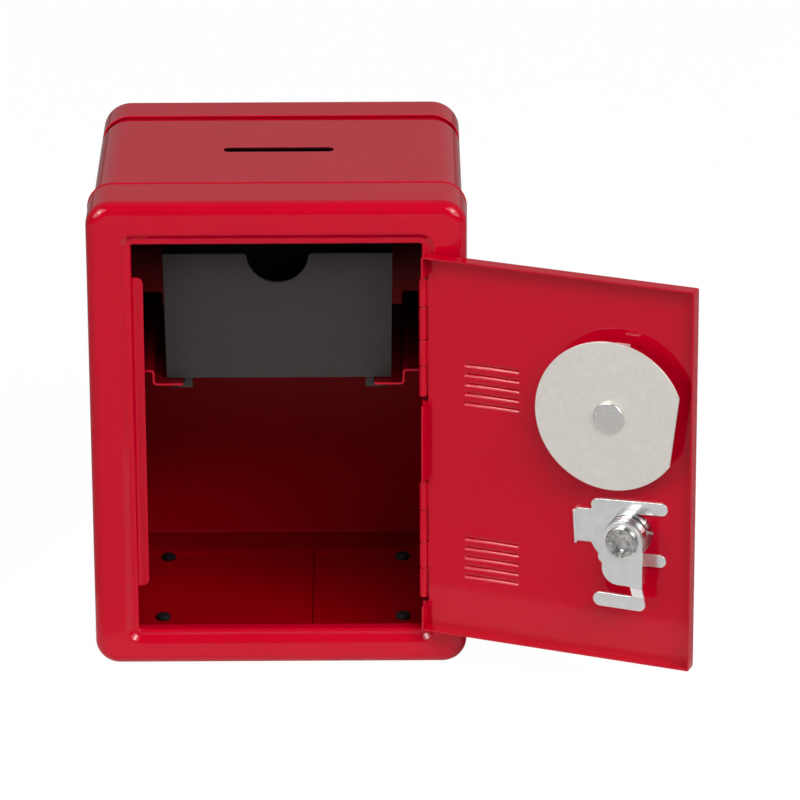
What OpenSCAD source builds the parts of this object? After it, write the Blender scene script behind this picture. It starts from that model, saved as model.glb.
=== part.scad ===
// Toy safe money box with an open door, coin slot, coin tray, dial and key lock.
// Millimetres. X runs to the right, Y to the back and Z up, as seen from the front.
// The origin is the centre of the rear cover's outer face.

/* [Case] */
// Width across the front frame
case_w = 120; // [105:1:150]
// Height of the front frame
case_h = 157.6; // [150:0.2:190]
// Depth from the frame's crest to the rear cover
case_d = 109; // [100:1:140]
// Corner radius of the front frame
case_r = 7.9; // [7.4:0.1:8]
// How far the sleeve lies inside the frame's outline
sleeve_inset = 1.1; // [1.05:0.05:1.4]
// Corner radius of the sleeve and the rear cover
sleeve_r = 9.2; // [8:0.1:9.6]
// Sheet thickness of the front frame
frame_t = 0.8; // [0.6:0.05:0.9]
// Sheet thickness of the sleeve and the rear cover
sleeve_t = 0.6; // [0.5:0.05:0.8]
// Gap between sheets that lap each other
lap_gap = 0.3; // [0.2:0.05:0.4]

/* [Front frame] */
// Depth of the frame's skirt over the sleeve
skirt_d = 21; // [15:0.5:30]
// Radius of the bead round the front
bead_r = 4; // [3:0.1:5]
// Width of the front frame on either side of the doorway
side_w = 14.2; // [14:0.1:17]
// Height of the doorway
doorway_h = 131.6; // [125:0.1:132]
// Height of the doorway's sill above the frame's lower edge
sill_h = 12; // [11.9:0.1:12.5]
// Corner radius of the doorway
doorway_r = 0.7; // [0.5:0.1:1]
// Width of the slope round the doorway
slope_w = 2; // [1.5:0.1:2.2]
// Width of the sunk band round the doorway
band_w = 2; // [1.8:0.1:2.2]
// Depth of the sunk band
band_d = 1.6; // [1.4:0.1:2]
// Outer radius of the fold between band and return
fold_r = 1; // [0.95:0.05:1.1]
// Depth of the return behind the band
return_d = 4; // [3.8:0.1:5]
// Width of the strike lip that stands in from the left return
lip_w = 3.4; // [3:0.1:3.5]
// Length of the strike lip
lip_h = 105.3; // [80:0.1:112]
// Corner radius of the strike lip
lip_r = 2; // [1:0.1:3]
// Radius of the bend between return and strike lip
lip_bend_r = 2; // [1.8:0.1:2.2]

/* [Sleeve] */
// Distance of the sleeve's front edge behind the crest
sleeve_front = 5; // [4.5:0.1:8]
// Length over which the sleeve necks down into the rear cover
neck_l = 5; // [4:0.1:6]
// Distance of the bottom seam to the right of the middle
seam_x = 9.7; // [6:0.1:15]
// Width of the bottom seam
seam_gap = 0.2; // [0.1:0.05:0.3]
// Width of the lap that is welded on under the bottom seam
seam_lap = 7; // [5:0.5:10]
// Corner radius of the coin slot
coin_slot_r = 0.8; // [0.5:0.1:1.5]
// Length of the coin slot
coin_slot_l = 35.5; // [30:0.5:45]
// Width of the coin slot
coin_slot_w = 4.4; // [4.2:0.1:5]
// Distance of the coin slot's middle behind the crest
coin_slot_y = 57.7; // [45:0.1:65]

/* [Rear cover] */
// Depth of the rear cover's skirt
rear_d = 15.8; // [13:0.1:18]
// Radius of the rear cover's edge
rear_r = 1.8; // [1.4:0.1:3]

/* [Feet] */
// Half the distance between the feet across the case
foot_x = 39.5; // [30:0.5:44]
// Distance of the front feet behind the crest
foot_y_front = 34.5; // [28:0.5:45]
// Distance of the rear feet behind the crest
foot_y_rear = 85.5; // [65:0.5:86]
// Radius of a foot
foot_r = 5.5; // [4.5:0.1:7]
// Height of a foot under the sleeve
foot_h = 2.4; // [2.2:0.1:4]
// Radius of a foot's hole in the sleeve
foot_hole_r = 2; // [1.8:0.1:2.4]

/* [Hinges] */
// Distance of the hinge axis outside the doorway's edge
hinge_out = 0.35; // [0.3:0.05:0.4]
// Distance of the hinge axis behind the crest
hinge_back = 0.4; // [0.3:0.05:0.45]
// Radius of the hinge pins
pin_r = 0.75; // [0.7:0.01:0.8]
// Radial clearance of the running fits
run_gap = 0.05; // [0.03:0.01:0.08]
// Wall of the hinge knuckles
knuckle_wall = 0.5; // [0.45:0.01:0.55]
// Height of the upper hinge's top above the sill
upper_hinge_top = 120.4; // [116:0.1:122]
// Height of the lower hinge's top above the sill
lower_hinge_top = 51.3; // [45:0.1:70]
// Lengths of one hinge's knuckles from the top, which start on the door
knuckle_l = [9.2, 11, 8.6, 10];
// Gap between two knuckles
knuckle_gap = 0.2; // [0.15:0.05:0.3]
// Angle by which the door stands open
door_angle = 158; // [150:1:158]

/* [Door] */
// Sheet thickness of the door
door_t = 0.6; // [0.5:0.05:0.7]
// Height of the door's outer face in front of the hinge axis
door_out = 0.85; // [0.8:0.01:0.9]
// Height of the door's rim over its outer face
door_rim_h = 4.5; // [4:0.1:5]
// Radius of the fold between the door's face and its rim
door_fold_r = 0.9; // [0.8:0.05:1.2]
// Corner radius of the door
door_r = 1.5; // [1.3:0.1:2.5]
// Gap between the door and the doorway's left edge
door_gap_free = 0.45; // [0.4:0.05:0.8]
// Gap between the door's rim and the doorway's right edge
door_gap_hinge = 0.4; // [0.35:0.05:0.45]
// Gap between the door and the sill
door_gap_sill = 1.4; // [1:0.1:2]
// Gap between the door and the doorway's top edge
door_gap_top = 2.6; // [1.5:0.1:3]
// Number of pressed ribs in each group
rib_count = 5; // [3:1:6]
// Distance between the ribs of a group
rib_pitch = 3.25; // [3:0.05:4]
// Distance of the ribs' ends from the hinge axis
rib_start = 13.25; // [10:0.25:16]
// Distance between the ribs and the dial's scale ring
rib_to_ring = 11.25; // [8:0.25:14]
// Half the width of a rib's hollow on the inner side
rib_r = 0.85; // [0.7:0.05:1]
// Height of the upper group's middle above the sill
upper_rib_z = 87.5; // [80:0.5:95]
// Height of the lower group's middle above the sill
lower_rib_z = 28; // [24:0.5:35]

/* [Dial] */
// Distance of the dial's axis from the doorway's left edge
dial_in = 26.6; // [26.4:0.1:27.1]
// Height of the dial's axis above the sill
dial_z = 85.4; // [83:0.1:90]
// Radius of the gate disc
gate_r = 24.65; // [24:0.05:24.8]
// Distance of the gate disc's flat from its middle
gate_flat = 21.7; // [21:0.1:22]
// Angle by which the flat is turned down from the door's edge
gate_turn = 7; // [0:0.5:9]
// Thickness of the gate disc
gate_t = 0.8; // [0.6:0.1:1]
// Distance of the gate disc behind the hinge axis
gate_n = 6; // [5.9:0.1:6.4]
// Radius of the spindle
spindle_r = 2; // [1.8:0.1:2.4]
// Radius of the spindle's head
spindle_head_r = 5; // [4.5:0.1:5.5]
// Height of the spindle's head
spindle_head_h = 1.3; // [1:0.1:1.8]
// Wall of the spindle's bush
bush_wall = 2; // [1.5:0.1:2.5]
// Thickness of the washer under the gate disc
washer_t = 0.4; // [0.3:0.05:0.5]
// Radius of the scale ring on the outer face
scale_r = 21; // [19:0.5:22]
// Thickness of the scale ring
scale_t = 0.6; // [0.5:0.1:1]
// Radius of the dial's knob
knob_r = 12; // [10:0.5:13]
// Height of the dial's knob
knob_h = 11; // [9:0.5:13]
// Number of grooves round the knob
knob_grooves = 20; // [12:1:24]

/* [Lock] */
// Distance of the lock's axis from the doorway's left edge
lock_in = 21.2; // [20.4:0.1:22.1]
// Height of the lock's axis above the sill
lock_z = 44.4; // [41:0.1:48]
// Radius of the lock's barrel
barrel_r = 7; // [6.8:0.05:7.2]
// Length of the barrel behind the hinge axis
barrel_n = 7.2; // [7:0.1:7.6]
// Radius of the barrel's groove for the clip
groove_r = 6.6; // [6.4:0.05:6.7]
// Radius of the barrel's outer flange
lock_flange_r = 9.5; // [8.5:0.1:11]
// Height of the barrel's outer flange
lock_flange_h = 3; // [2.5:0.1:4]
// Radius of the plug
plug_r = 5; // [4.6:0.1:5.4]
// Radius of the plug's tail, which carries the cam
tail_r = 3; // [2.6:0.1:3.4]
// Thickness of the clip
clip_t = 0.8; // [0.7:0.05:1]
// Angle by which the clip is turned
clip_turn = 3.5; // [0:0.5:6]
// Thickness of the cam
cam_t = 1; // [0.8:0.1:1.2]
// Half the width of the cam
cam_r = 6.7; // [6:0.1:7]
// Distance from the lock's axis to the cam's lower edge
cam_l = 14.8; // [13:0.1:15]
// Distance from the lock's axis to the middle of the cam's foot
cam_foot_l = 21.4; // [20:0.1:22]
// Drop of the cam's foot towards the door
cam_joggle = 2.2; // [1.8:0.1:2.3]
// Thickness of the key
key_t = 1.6; // [1.4:0.1:1.8]
// Width of the key's blade
key_w = 6; // [5.4:0.1:6.4]
// Length of the key's blade inside the plug
key_l = 9; // [8:0.1:9.6]
// Radius of the key's bow
bow_r = 10; // [9:0.1:12]

/* [Tray and rails] */
// Width of the tray at its floor
tray_w = 72; // [66:0.1:73]
// How much wider the tray is at its rim
tray_draft = 1.2; // [0.8:0.1:1.6]
// Height of the tray
tray_h = 42.3; // [36:0.1:44]
// Length of the tray
tray_l = 70; // [60:0.5:72]
// Distance of the tray's front behind the crest
tray_front = 17.5; // [17:0.1:20]
// Height of the tray's floor above the sill
tray_z = 80.7; // [78:0.1:84]
// Wall of the tray
tray_wall = 1.5; // [1.2:0.1:2]
// Radius of the tray's finger notch
finger_r = 9.9; // [8:0.1:12]
// Half the distance between the outer sides of the tray's hooks
hook_x = 30.4; // [28:0.1:31]
// Width of a hook's stem
hook_stem = 2.6; // [2.2:0.1:3]
// Reach of a hook's toe under the rail
hook_toe = 4.2; // [3.5:0.1:4.6]
// Drop of a hook below the tray
hook_h = 3.8; // [3.4:0.1:4.2]
// Thickness of a hook's toe
toe_t = 1.6; // [1.4:0.1:1.8]
// Length of a hook
hook_l = 7; // [5:0.5:10]
// Clearance between the tray and its rails
slide_gap = 0.3; // [0.2:0.05:0.4]
// Sheet thickness of the rails
rail_t = 0.8; // [0.6:0.1:1]
// Distance of the rails' front behind the crest
rail_front = 14; // [13:0.1:15]
// Distance of the rails' rear end in front of the sleeve's neck
rail_back_gap = 0.7; // [0.4:0.1:3]
// Height of the rails' shelf over the tray's floor
shelf_z = 4.3; // [4:0.1:5]
// Distance from the middle to the rails' drop
drop_x = 41.2; // [40.5:0.1:43]
// Height of the rails' flange on the sleeve
rail_flange_h = 25; // [20:0.5:30]

/* [Hidden] */
$fn = 64;
eps = 0.01;
through = 20;

front_y = -case_d;
sleeve_w = case_w - 2 * sleeve_inset;
sleeve_h = case_h - 2 * sleeve_inset;
floor_z = -sleeve_h / 2;
frame_bottom = -case_h / 2;
doorway_w = case_w - 2 * side_w;
sill_z = frame_bottom + sill_h;
doorway_mid_z = sill_z + doorway_h / 2;
neck_in = sleeve_t + lap_gap;
rear_lip_y = case_d - rear_d;
neck_end_y = rear_lip_y - eps;
neck_start_y = neck_end_y - neck_l;
strip_w = 0.2;
lip_mid_z = doorway_mid_z + 1.05;

hinge_x = doorway_w / 2 + hinge_out;
hinge_y = front_y + hinge_back;
knuckle_bore = pin_r + run_gap;
knuckle_r = knuckle_bore + knuckle_wall;
relief_w = knuckle_r + 0.35;
relief_above = 1;
relief_below = 2.3;
hinge_l = knuckle_l[0] + knuckle_l[1] + knuckle_l[2] + knuckle_l[3] + 3 * knuckle_gap;
hinge_tops = [sill_z + upper_hinge_top, sill_z + lower_hinge_top];
knuckle_tops = [
    0,
    knuckle_l[0] + knuckle_gap,
    knuckle_l[0] + knuckle_l[1] + 2 * knuckle_gap,
    knuckle_l[0] + knuckle_l[1] + knuckle_l[2] + 3 * knuckle_gap
];

door_u0 = hinge_out + door_gap_hinge;
door_u1 = doorway_w + hinge_out - door_gap_free;
door_z0 = sill_z + door_gap_sill;
door_z1 = sill_z + doorway_h - door_gap_top;
door_mid_u = (door_u0 + door_u1) / 2;
door_mid_z = (door_z0 + door_z1) / 2;
door_w = door_u1 - door_u0;
door_h = door_z1 - door_z0;
skin_n = -door_out;
inner_n = door_t - door_out;

bush_r = spindle_r + run_gap + bush_wall;
bush_collar_r = bush_r + 2.5;
bush_collar_h = 1;
gate_back_n = gate_n + gate_t;
washer_n = gate_n - washer_t;
dial_u = doorway_w - dial_in;
rib_end = dial_u - scale_r - rib_to_ring;
rib_l = rib_end - rib_start;
rib_u = (rib_start + rib_end) / 2;
knob_seat = 0.3;
knob_n = skin_n - scale_t - knob_seat;
knob_cap = 2;

lock_u = doorway_w - lock_in;
lock_front_n = skin_n - lock_flange_h;
clip_n = inner_n;
cam_seat = 0.2;
cam_n = barrel_n + cam_seat;
cap_n = cam_n + cam_t;
cap_h = 1.2;
cap_r = 5.3;
foot_half_w = 2.3;
key_front_n = lock_front_n - 0.6;

rail_x = sleeve_w / 2 - sleeve_t;
rail_l = neck_start_y - rail_back_gap - rail_front;
lip_top_z = sill_z + tray_z - slide_gap;
rail_lip_x = hook_x + slide_gap;
shelf_top_z = sill_z + tray_z + shelf_z;
tray_floor_z = sill_z + tray_z;

// Stands a shape up that is drawn lying on its front: x stays, y is the height, z the depth.
module stand_up(z = 0) {
    translate([0, front_y, z]) mirror([0, 1, 0]) rotate([90, 0, 0]) children();
}

// Places a shape on the outer side of the sleeve's floor, y behind the crest.
module on_floor(x, y, z = 0) {
    translate([x, front_y + y, floor_z + z]) children();
}

// Sweeps a profile (distance from the corner's middle, depth) round a rectangle of corner middles.
module sweep_round(w, h) {
    for (turn = [0:3]) {
        across = turn % 2 == 0 ? w : h;
        along = turn % 2 == 0 ? h : w;
        rotate([0, 0, 90 * turn]) translate([across / 2, along / 2, 0]) {
            rotate([90, 0, 0]) linear_extrude(along) children();
            rotate_extrude(angle = 90) children();
        }
    }
}

// Quarter of a disc, in the quadrant given by the signs of x and y.
module quarter_disc(r, sx, sy) {
    intersection() {
        circle(r);
        translate([sx > 0 ? 0 : -r, sy > 0 ? 0 : -r]) square(r);
    }
}

module quarter_ring(outer, inner, sx, sy) {
    difference() {
        quarter_disc(outer, sx, sy);
        circle(inner);
    }
}

// Rectangle with round corners, about its middle.
module round_rect(w, h, r) {
    square([w - 2 * r, h], center = true);
    square([w, h - 2 * r], center = true);
    for (sx = [-1, 1], sy = [-1, 1]) {
        translate([sx * (w / 2 - r), sy * (h / 2 - r)]) circle(r);
    }
}

// Strip with half-round ends, about its middle.
module round_strip(l, w) {
    square([l - w, w], center = true);
    for (side = [-1, 1]) translate([side * (l - w) / 2, 0]) circle(w / 2);
}

// Pressed front frame

// Skirt, bead and the outer part of the crest.
module frame_outer_profile() {
    square([case_r - bead_r, frame_t]);
    translate([case_r - bead_r, bead_r]) quarter_ring(bead_r, bead_r - frame_t, 1, -1);
    translate([case_r - frame_t, bead_r]) square([frame_t, skirt_d - bead_r]);
}

// Slope, sunk band, fold and return round the doorway.
module frame_inner_profile() {
    fold_x = doorway_r + fold_r;
    band_x = doorway_r + band_w;
    crest_x = band_x + slope_w;
    translate([crest_x, 0]) square([strip_w, frame_t]);
    polygon([[crest_x, 0], [crest_x, frame_t], [band_x, band_d + frame_t], [band_x, band_d]]);
    translate([fold_x, band_d]) square([band_x - fold_x, frame_t]);
    translate([fold_x, band_d + fold_r]) quarter_ring(fold_r, fold_r - frame_t, -1, -1);
    translate([doorway_r, band_d + fold_r]) square([frame_t, return_d - fold_r]);
}

module frame_pressing() {
    inner_w = doorway_w - 2 * doorway_r;
    inner_h = doorway_h - 2 * doorway_r;
    reach = doorway_r + band_w + slope_w + strip_w;
    stand_up() sweep_round(case_w - 2 * case_r, case_h - 2 * case_r) frame_outer_profile();
    stand_up() linear_extrude(frame_t) difference() {
        square([case_w - 2 * case_r, case_h - 2 * case_r], center = true);
        translate([0, doorway_mid_z]) round_rect(inner_w + 2 * reach, inner_h + 2 * reach, reach);
    }
    stand_up(doorway_mid_z) sweep_round(inner_w, inner_h) frame_inner_profile();
}

// The lip bends in from the left return, and the gate disc and the cam lock behind it.
module strike_lip() {
    lip_back = band_d + return_d;
    lip_x = -doorway_w / 2;
    flat_w = lip_w - lip_bend_r;
    translate([lip_x, front_y + lip_back - lip_bend_r, lip_mid_z - lip_h / 2]) linear_extrude(lip_h) {
        translate([lip_bend_r - frame_t, 0]) quarter_ring(lip_bend_r, lip_bend_r - frame_t, -1, 1);
    }
    stand_up() translate([lip_x + lip_bend_r - frame_t - eps, lip_mid_z - lip_h / 2, lip_back - frame_t]) {
        linear_extrude(frame_t) {
            square([flat_w + frame_t + eps - lip_r, lip_h]);
            translate([0, lip_r]) square([flat_w + frame_t + eps, lip_h - 2 * lip_r]);
            for (y = [lip_r, lip_h - lip_r]) translate([flat_w + frame_t + eps - lip_r, y]) circle(lip_r);
        }
    }
}

// Knuckle rings of one hinge with their webs: first is 0 for the door's and 1 for the frame's.
module knuckles(top, first) {
    for (i = [first, first + 2]) {
        translate([0, 0, top - knuckle_tops[i] - knuckle_l[i]]) difference() {
            union() {
                cylinder(r = knuckle_r, h = knuckle_l[i]);
                linear_extrude(knuckle_l[i]) children();
            }
            translate([0, 0, -1]) cylinder(r = knuckle_bore, h = knuckle_l[i] + 2);
        }
    }
}

module front_frame() {
    web_back = band_d + frame_t - hinge_back;
    color("#c01428") {
        difference() {
            frame_pressing();
            for (top = hinge_tops) {
                translate([doorway_w / 2 - 1, front_y + 1, top - hinge_l - relief_below])
                    cube([band_w + 1 - eps, return_d + band_d, hinge_l + relief_above + relief_below]);
            }
        }
        strike_lip();
        for (top = hinge_tops) {
            translate([hinge_x, hinge_y, 0]) knuckles(top, 1) {
                translate([0, pin_r]) square([band_w - hinge_out + 0.1, web_back - pin_r]);
            }
        }
    }
}

// Sleeve, wrapped from one sheet and open along the bottom seam

module sleeve_profile() {
    outer = sleeve_r;
    inner = sleeve_r - sleeve_t;
    back = case_d - sleeve_t - rear_r;
    polygon([
        [outer, sleeve_front], [outer, neck_start_y], [outer - neck_in, neck_end_y], [outer - neck_in, back],
        [inner - neck_in, back], [inner - neck_in, neck_end_y], [inner, neck_start_y], [inner, sleeve_front]
    ]);
}

module body_sleeve() {
    color("#c01428") difference() {
        stand_up() sweep_round(sleeve_w - 2 * sleeve_r, sleeve_h - 2 * sleeve_r) sleeve_profile();
        on_floor(0, coin_slot_y, sleeve_h / 2) linear_extrude(sleeve_h) {
            round_rect(coin_slot_l, coin_slot_w, coin_slot_r);
        }
        for (x = [-foot_x, foot_x], y = [foot_y_front, foot_y_rear]) {
            on_floor(x, y, -1) cylinder(r = foot_hole_r, h = sleeve_t + 2);
        }
        on_floor(seam_x - seam_gap / 2, 0, -1) cube([seam_gap, case_d, sleeve_r]);
    }
    lap_front = skirt_d + lap_gap;
    color("#c01428") on_floor(seam_x - seam_lap / 2, lap_front, -sleeve_t) {
        cube([seam_lap, neck_start_y - lap_front, sleeve_t]);
    }
}

module rear_profile() {
    square([sleeve_r - rear_r, sleeve_t]);
    translate([sleeve_r - rear_r, rear_r]) quarter_ring(rear_r, rear_r - sleeve_t, 1, -1);
    translate([sleeve_r - sleeve_t, rear_r]) square([sleeve_t, rear_d - rear_r]);
}

module rear_cover() {
    plate_w = sleeve_w - 2 * sleeve_r;
    plate_h = sleeve_h - 2 * sleeve_r;
    color("#c01428") rotate([90, 0, 0]) {
        sweep_round(plate_w, plate_h) rear_profile();
        translate([-plate_w / 2, -plate_h / 2, 0]) cube([plate_w, plate_h, sleeve_t]);
    }
}

module push_in_feet() {
    edge_r = 1;
    barb_r = foot_hole_r + 0.4;
    barb_h = 1.7;
    color("#1c1c1c") for (x = [-foot_x, foot_x], y = [foot_y_front, foot_y_rear]) {
        on_floor(x, y) rotate_extrude() {
            translate([0, -foot_h]) square([foot_r - edge_r, foot_h]);
            translate([0, edge_r - foot_h]) square([foot_r, foot_h - edge_r]);
            translate([foot_r - edge_r, edge_r - foot_h]) quarter_disc(edge_r, 1, -1);
            square([foot_hole_r - run_gap, sleeve_t + eps]);
            translate([0, sleeve_t]) square([barb_r - edge_r, barb_h]);
            translate([0, sleeve_t]) square([barb_r, barb_h - edge_r]);
            translate([barb_r - edge_r, sleeve_t + barb_h - edge_r]) quarter_disc(edge_r, 1, 1);
        }
    }
}

// Rails and tray

// The right rail's section, seen from the front.
module rail_section() {
    top = shelf_top_z;
    translate([rail_x - rail_t, top - rail_t]) square([rail_t, rail_flange_h + rail_t]);
    translate([drop_x, top - rail_t]) square([rail_x - drop_x, rail_t]);
    translate([drop_x - rail_t, lip_top_z - rail_t]) square([rail_t, top - lip_top_z + rail_t]);
    translate([rail_lip_x, lip_top_z - rail_t]) square([drop_x - rail_lip_x, rail_t]);
}

module rail() {
    color("#a01020") translate([0, rail_front, 0]) stand_up() linear_extrude(rail_l) rail_section();
}

module left_rail() {
    mirror([1, 0, 0]) rail();
}

module right_rail() {
    rail();
}

// Solid that widens towards its rim on all four sides.
module tray_block(w, l, h) {
    flare = tray_draft / 2;
    intersection() {
        rotate([90, 0, 0]) translate([0, 0, -l]) linear_extrude(2 * l) {
            polygon([[-w / 2, 0], [w / 2, 0], [w / 2 + flare, h], [-w / 2 - flare, h]]);
        }
        rotate([90, 0, 90]) translate([0, 0, -w]) linear_extrude(2 * w) {
            polygon([[-l / 2 + flare, 0], [l / 2 - flare, 0], [l / 2, h], [-l / 2, h]]);
        }
    }
}

module tray_hook() {
    translate([hook_x - hook_stem, 0, -hook_h]) cube([hook_stem, hook_l, hook_h + eps]);
    translate([hook_x - hook_stem, 0, -hook_h]) cube([hook_stem + hook_toe, hook_l, toe_t]);
}

module coin_tray() {
    color("#363230") translate([0, front_y + tray_front + tray_l / 2, tray_floor_z]) {
        difference() {
            tray_block(tray_w, tray_l, tray_h);
            translate([0, 0, tray_wall]) tray_block(tray_w - 2 * tray_wall, tray_l - 2 * tray_wall, tray_h);
            translate([0, -tray_l / 2, tray_h]) rotate([90, 0, 0]) cylinder(r = finger_r, h = through, center = true);
        }
        for (side = [0, 1], y = [2 - tray_l / 2, tray_l / 2 - hook_l - 2]) {
            mirror([side, 0, 0]) translate([0, y, 0]) tray_hook();
        }
    }
}

// Hinge pins

module hinge_pin(top) {
    color("#b8b8b8") translate([hinge_x, hinge_y, top - hinge_l]) cylinder(r = pin_r, h = hinge_l + 0.9);
}

module upper_hinge_pin() {
    hinge_pin(hinge_tops[0]);
}

module lower_hinge_pin() {
    hinge_pin(hinge_tops[1]);
}

// Door. Its pieces are drawn shut, with u away from the hinge axis and n behind it, and swung open.

module swing_open() {
    translate([hinge_x, hinge_y, 0]) rotate([0, 0, door_angle]) children();
}

// Draws on the door's inner side: x is u, y is the height and z is n.
module on_door(u, z, n = 0) {
    swing_open() translate([-u, n, z]) rotate([90, 0, 180]) children();
}

module door_rim_profile() {
    fold_x = door_r - door_fold_r;
    square([fold_x, door_t]);
    translate([fold_x, door_fold_r]) quarter_ring(door_fold_r, door_fold_r - door_t, 1, -1);
    translate([door_r - door_t, door_fold_r]) square([door_t, door_rim_h - door_fold_r]);
}

// Half of a capsule that lies along x and bulges to -z.
module half_capsule(l, r) {
    translate([-l / 2, 0, 0]) rotate([90, 0, 90]) linear_extrude(l) intersection() {
        circle(r);
        translate([-r, -r]) square([2 * r, r]);
    }
    for (side = [0, 1]) {
        mirror([side, 0, 0]) translate([l / 2, 0, 0]) rotate([0, 0, -90]) rotate_extrude(angle = 180) {
            intersection() {
                circle(r);
                translate([0, -r]) square(r);
            }
        }
    }
}

module ribs(r) {
    length = rib_l - 2 * rib_r;
    for (z = [upper_rib_z, lower_rib_z], i = [0:rib_count - 1]) {
        on_door(rib_u, sill_z + z + (i - (rib_count - 1) / 2) * rib_pitch, inner_n) half_capsule(length, r);
    }
}

module door_panel() {
    plate_w = door_w - 2 * door_r;
    plate_h = door_h - 2 * door_r;
    color("#c01428") {
        difference() {
            union() {
                on_door(door_mid_u, door_mid_z, skin_n) {
                    sweep_round(plate_w, plate_h) door_rim_profile();
                    translate([-plate_w / 2, -plate_h / 2, 0]) cube([plate_w, plate_h, door_t]);
                }
                ribs(rib_r + door_t);
            }
            ribs(rib_r);
            for (top = hinge_tops) {
                on_door(0, top - hinge_l - relief_below, skin_n - 1)
                    cube([relief_w, hinge_l + relief_above + relief_below, door_rim_h + 2]);
            }
            on_door(dial_u, sill_z + dial_z, skin_n - 1) cylinder(r = bush_r + run_gap, h = 3);
            on_door(lock_u, sill_z + lock_z, skin_n - 1) cylinder(r = barrel_r + run_gap, h = 3);
        }
        for (top = hinge_tops) {
            swing_open() knuckles(top, 0) translate([-relief_w - 0.1, skin_n]) square([relief_w + 0.1, door_t]);
        }
    }
}

// Dial

module on_dial(n = 0) {
    on_door(dial_u, sill_z + dial_z, n) children();
}

module dial_scale_ring() {
    color("#d8d8d8") on_dial(skin_n - scale_t) difference() {
        cylinder(r = scale_r, h = scale_t);
        translate([0, 0, -1]) cylinder(r = bush_r + run_gap, h = scale_t + 2);
    }
}

module spindle_bush() {
    color("#c8b070") on_dial() rotate_extrude() {
        translate([spindle_r + run_gap, skin_n - scale_t]) square([bush_wall, washer_n - skin_n + scale_t]);
        translate([spindle_r + run_gap, inner_n]) square([bush_collar_r - spindle_r - run_gap, bush_collar_h]);
    }
}

module dial_knob() {
    ring_shown = 5;
    flange_r = scale_r - ring_shown;
    flange_h = 1.6;
    edge_r = 1;
    groove_r = 1;
    groove_out = 0.4;
    hole_h = knob_h - knob_cap;
    color("#202020") on_dial(knob_n) mirror([0, 0, 1]) difference() {
        rotate_extrude() {
            square([flange_r, flange_h]);
            square([knob_r, knob_h - edge_r]);
            square([knob_r - edge_r, knob_h]);
            translate([knob_r - edge_r, knob_h - edge_r]) quarter_disc(edge_r, 1, 1);
        }
        for (i = [0:knob_grooves - 1]) rotate([0, 0, 360 * i / knob_grooves]) {
            translate([knob_r + groove_out, 0, flange_h]) cylinder(r = groove_r, h = knob_h);
        }
        translate([0, 0, -1]) cylinder(r = spindle_r + run_gap, h = hole_h + 1);
    }
}

module dial_spindle() {
    edge_r = 0.5;
    tip = knob_n - (knob_h - knob_cap) + 0.5;
    color("#c8c8c8") on_dial() rotate_extrude() {
        translate([0, tip]) square([spindle_r, gate_back_n - tip + eps]);
        translate([0, gate_back_n]) square([spindle_head_r, spindle_head_h - edge_r]);
        translate([0, gate_back_n]) square([spindle_head_r - edge_r, spindle_head_h]);
        translate([spindle_head_r - edge_r, gate_back_n + spindle_head_h - edge_r]) quarter_disc(edge_r, 1, 1);
    }
}

module gate_washer() {
    color("#b0a060") on_dial(washer_n) difference() {
        cylinder(r = bush_r, h = washer_t);
        translate([0, 0, -1]) cylinder(r = spindle_r + run_gap, h = washer_t + 2);
    }
}

module gate_disc() {
    tab_x = 3.5;
    tab_w = 4.6;
    tab_h = 2.6;
    tab_y = sqrt(gate_r * gate_r - pow(tab_x + tab_w / 2, 2)) - gate_t - 0.2;
    color("#d0ccc6") on_dial(gate_n) {
        difference() {
            cylinder(r = gate_r, h = gate_t, $fn = 128);
            rotate([0, 0, -gate_turn]) translate([gate_flat, -gate_r, -1]) cube([gate_r, 2 * gate_r, gate_t + 2]);
            translate([0, 0, -1]) cylinder(r = spindle_r + run_gap, h = gate_t + 2);
        }
        translate([tab_x - tab_w / 2, tab_y, -tab_h]) cube([tab_w, gate_t, tab_h + eps]);
    }
}

// Key lock

module on_lock(n = 0) {
    on_door(lock_u, sill_z + lock_z, n) children();
}

module lock_barrel() {
    bore = plug_r + run_gap;
    edge_r = 1;
    groove_end = clip_n + clip_t + run_gap;
    collar_h = 2;
    waist_end = groove_end + collar_h + 1.2;
    stop_pin_r = 0.5;
    color("#c8d0d2") on_lock() {
        rotate_extrude() {
            translate([bore, lock_front_n]) square([lock_flange_r - edge_r - bore, lock_flange_h]);
            translate([bore, lock_front_n + edge_r]) square([lock_flange_r - bore, lock_flange_h - edge_r]);
            translate([lock_flange_r - edge_r, lock_front_n + edge_r]) quarter_disc(edge_r, 1, -1);
            translate([bore, skin_n]) square([barrel_r - bore, inner_n - skin_n]);
            translate([bore, inner_n]) square([groove_r - bore, waist_end - inner_n]);
            translate([bore, groove_end]) square([barrel_r - bore, collar_h]);
            translate([bore, waist_end]) square([barrel_r - bore, barrel_n - waist_end]);
        }
        translate([barrel_r - 0.4, 1.6, groove_end + 0.7]) rotate([0, 90, 0]) cylinder(r = stop_pin_r, h = 1.3);
    }
}

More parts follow.
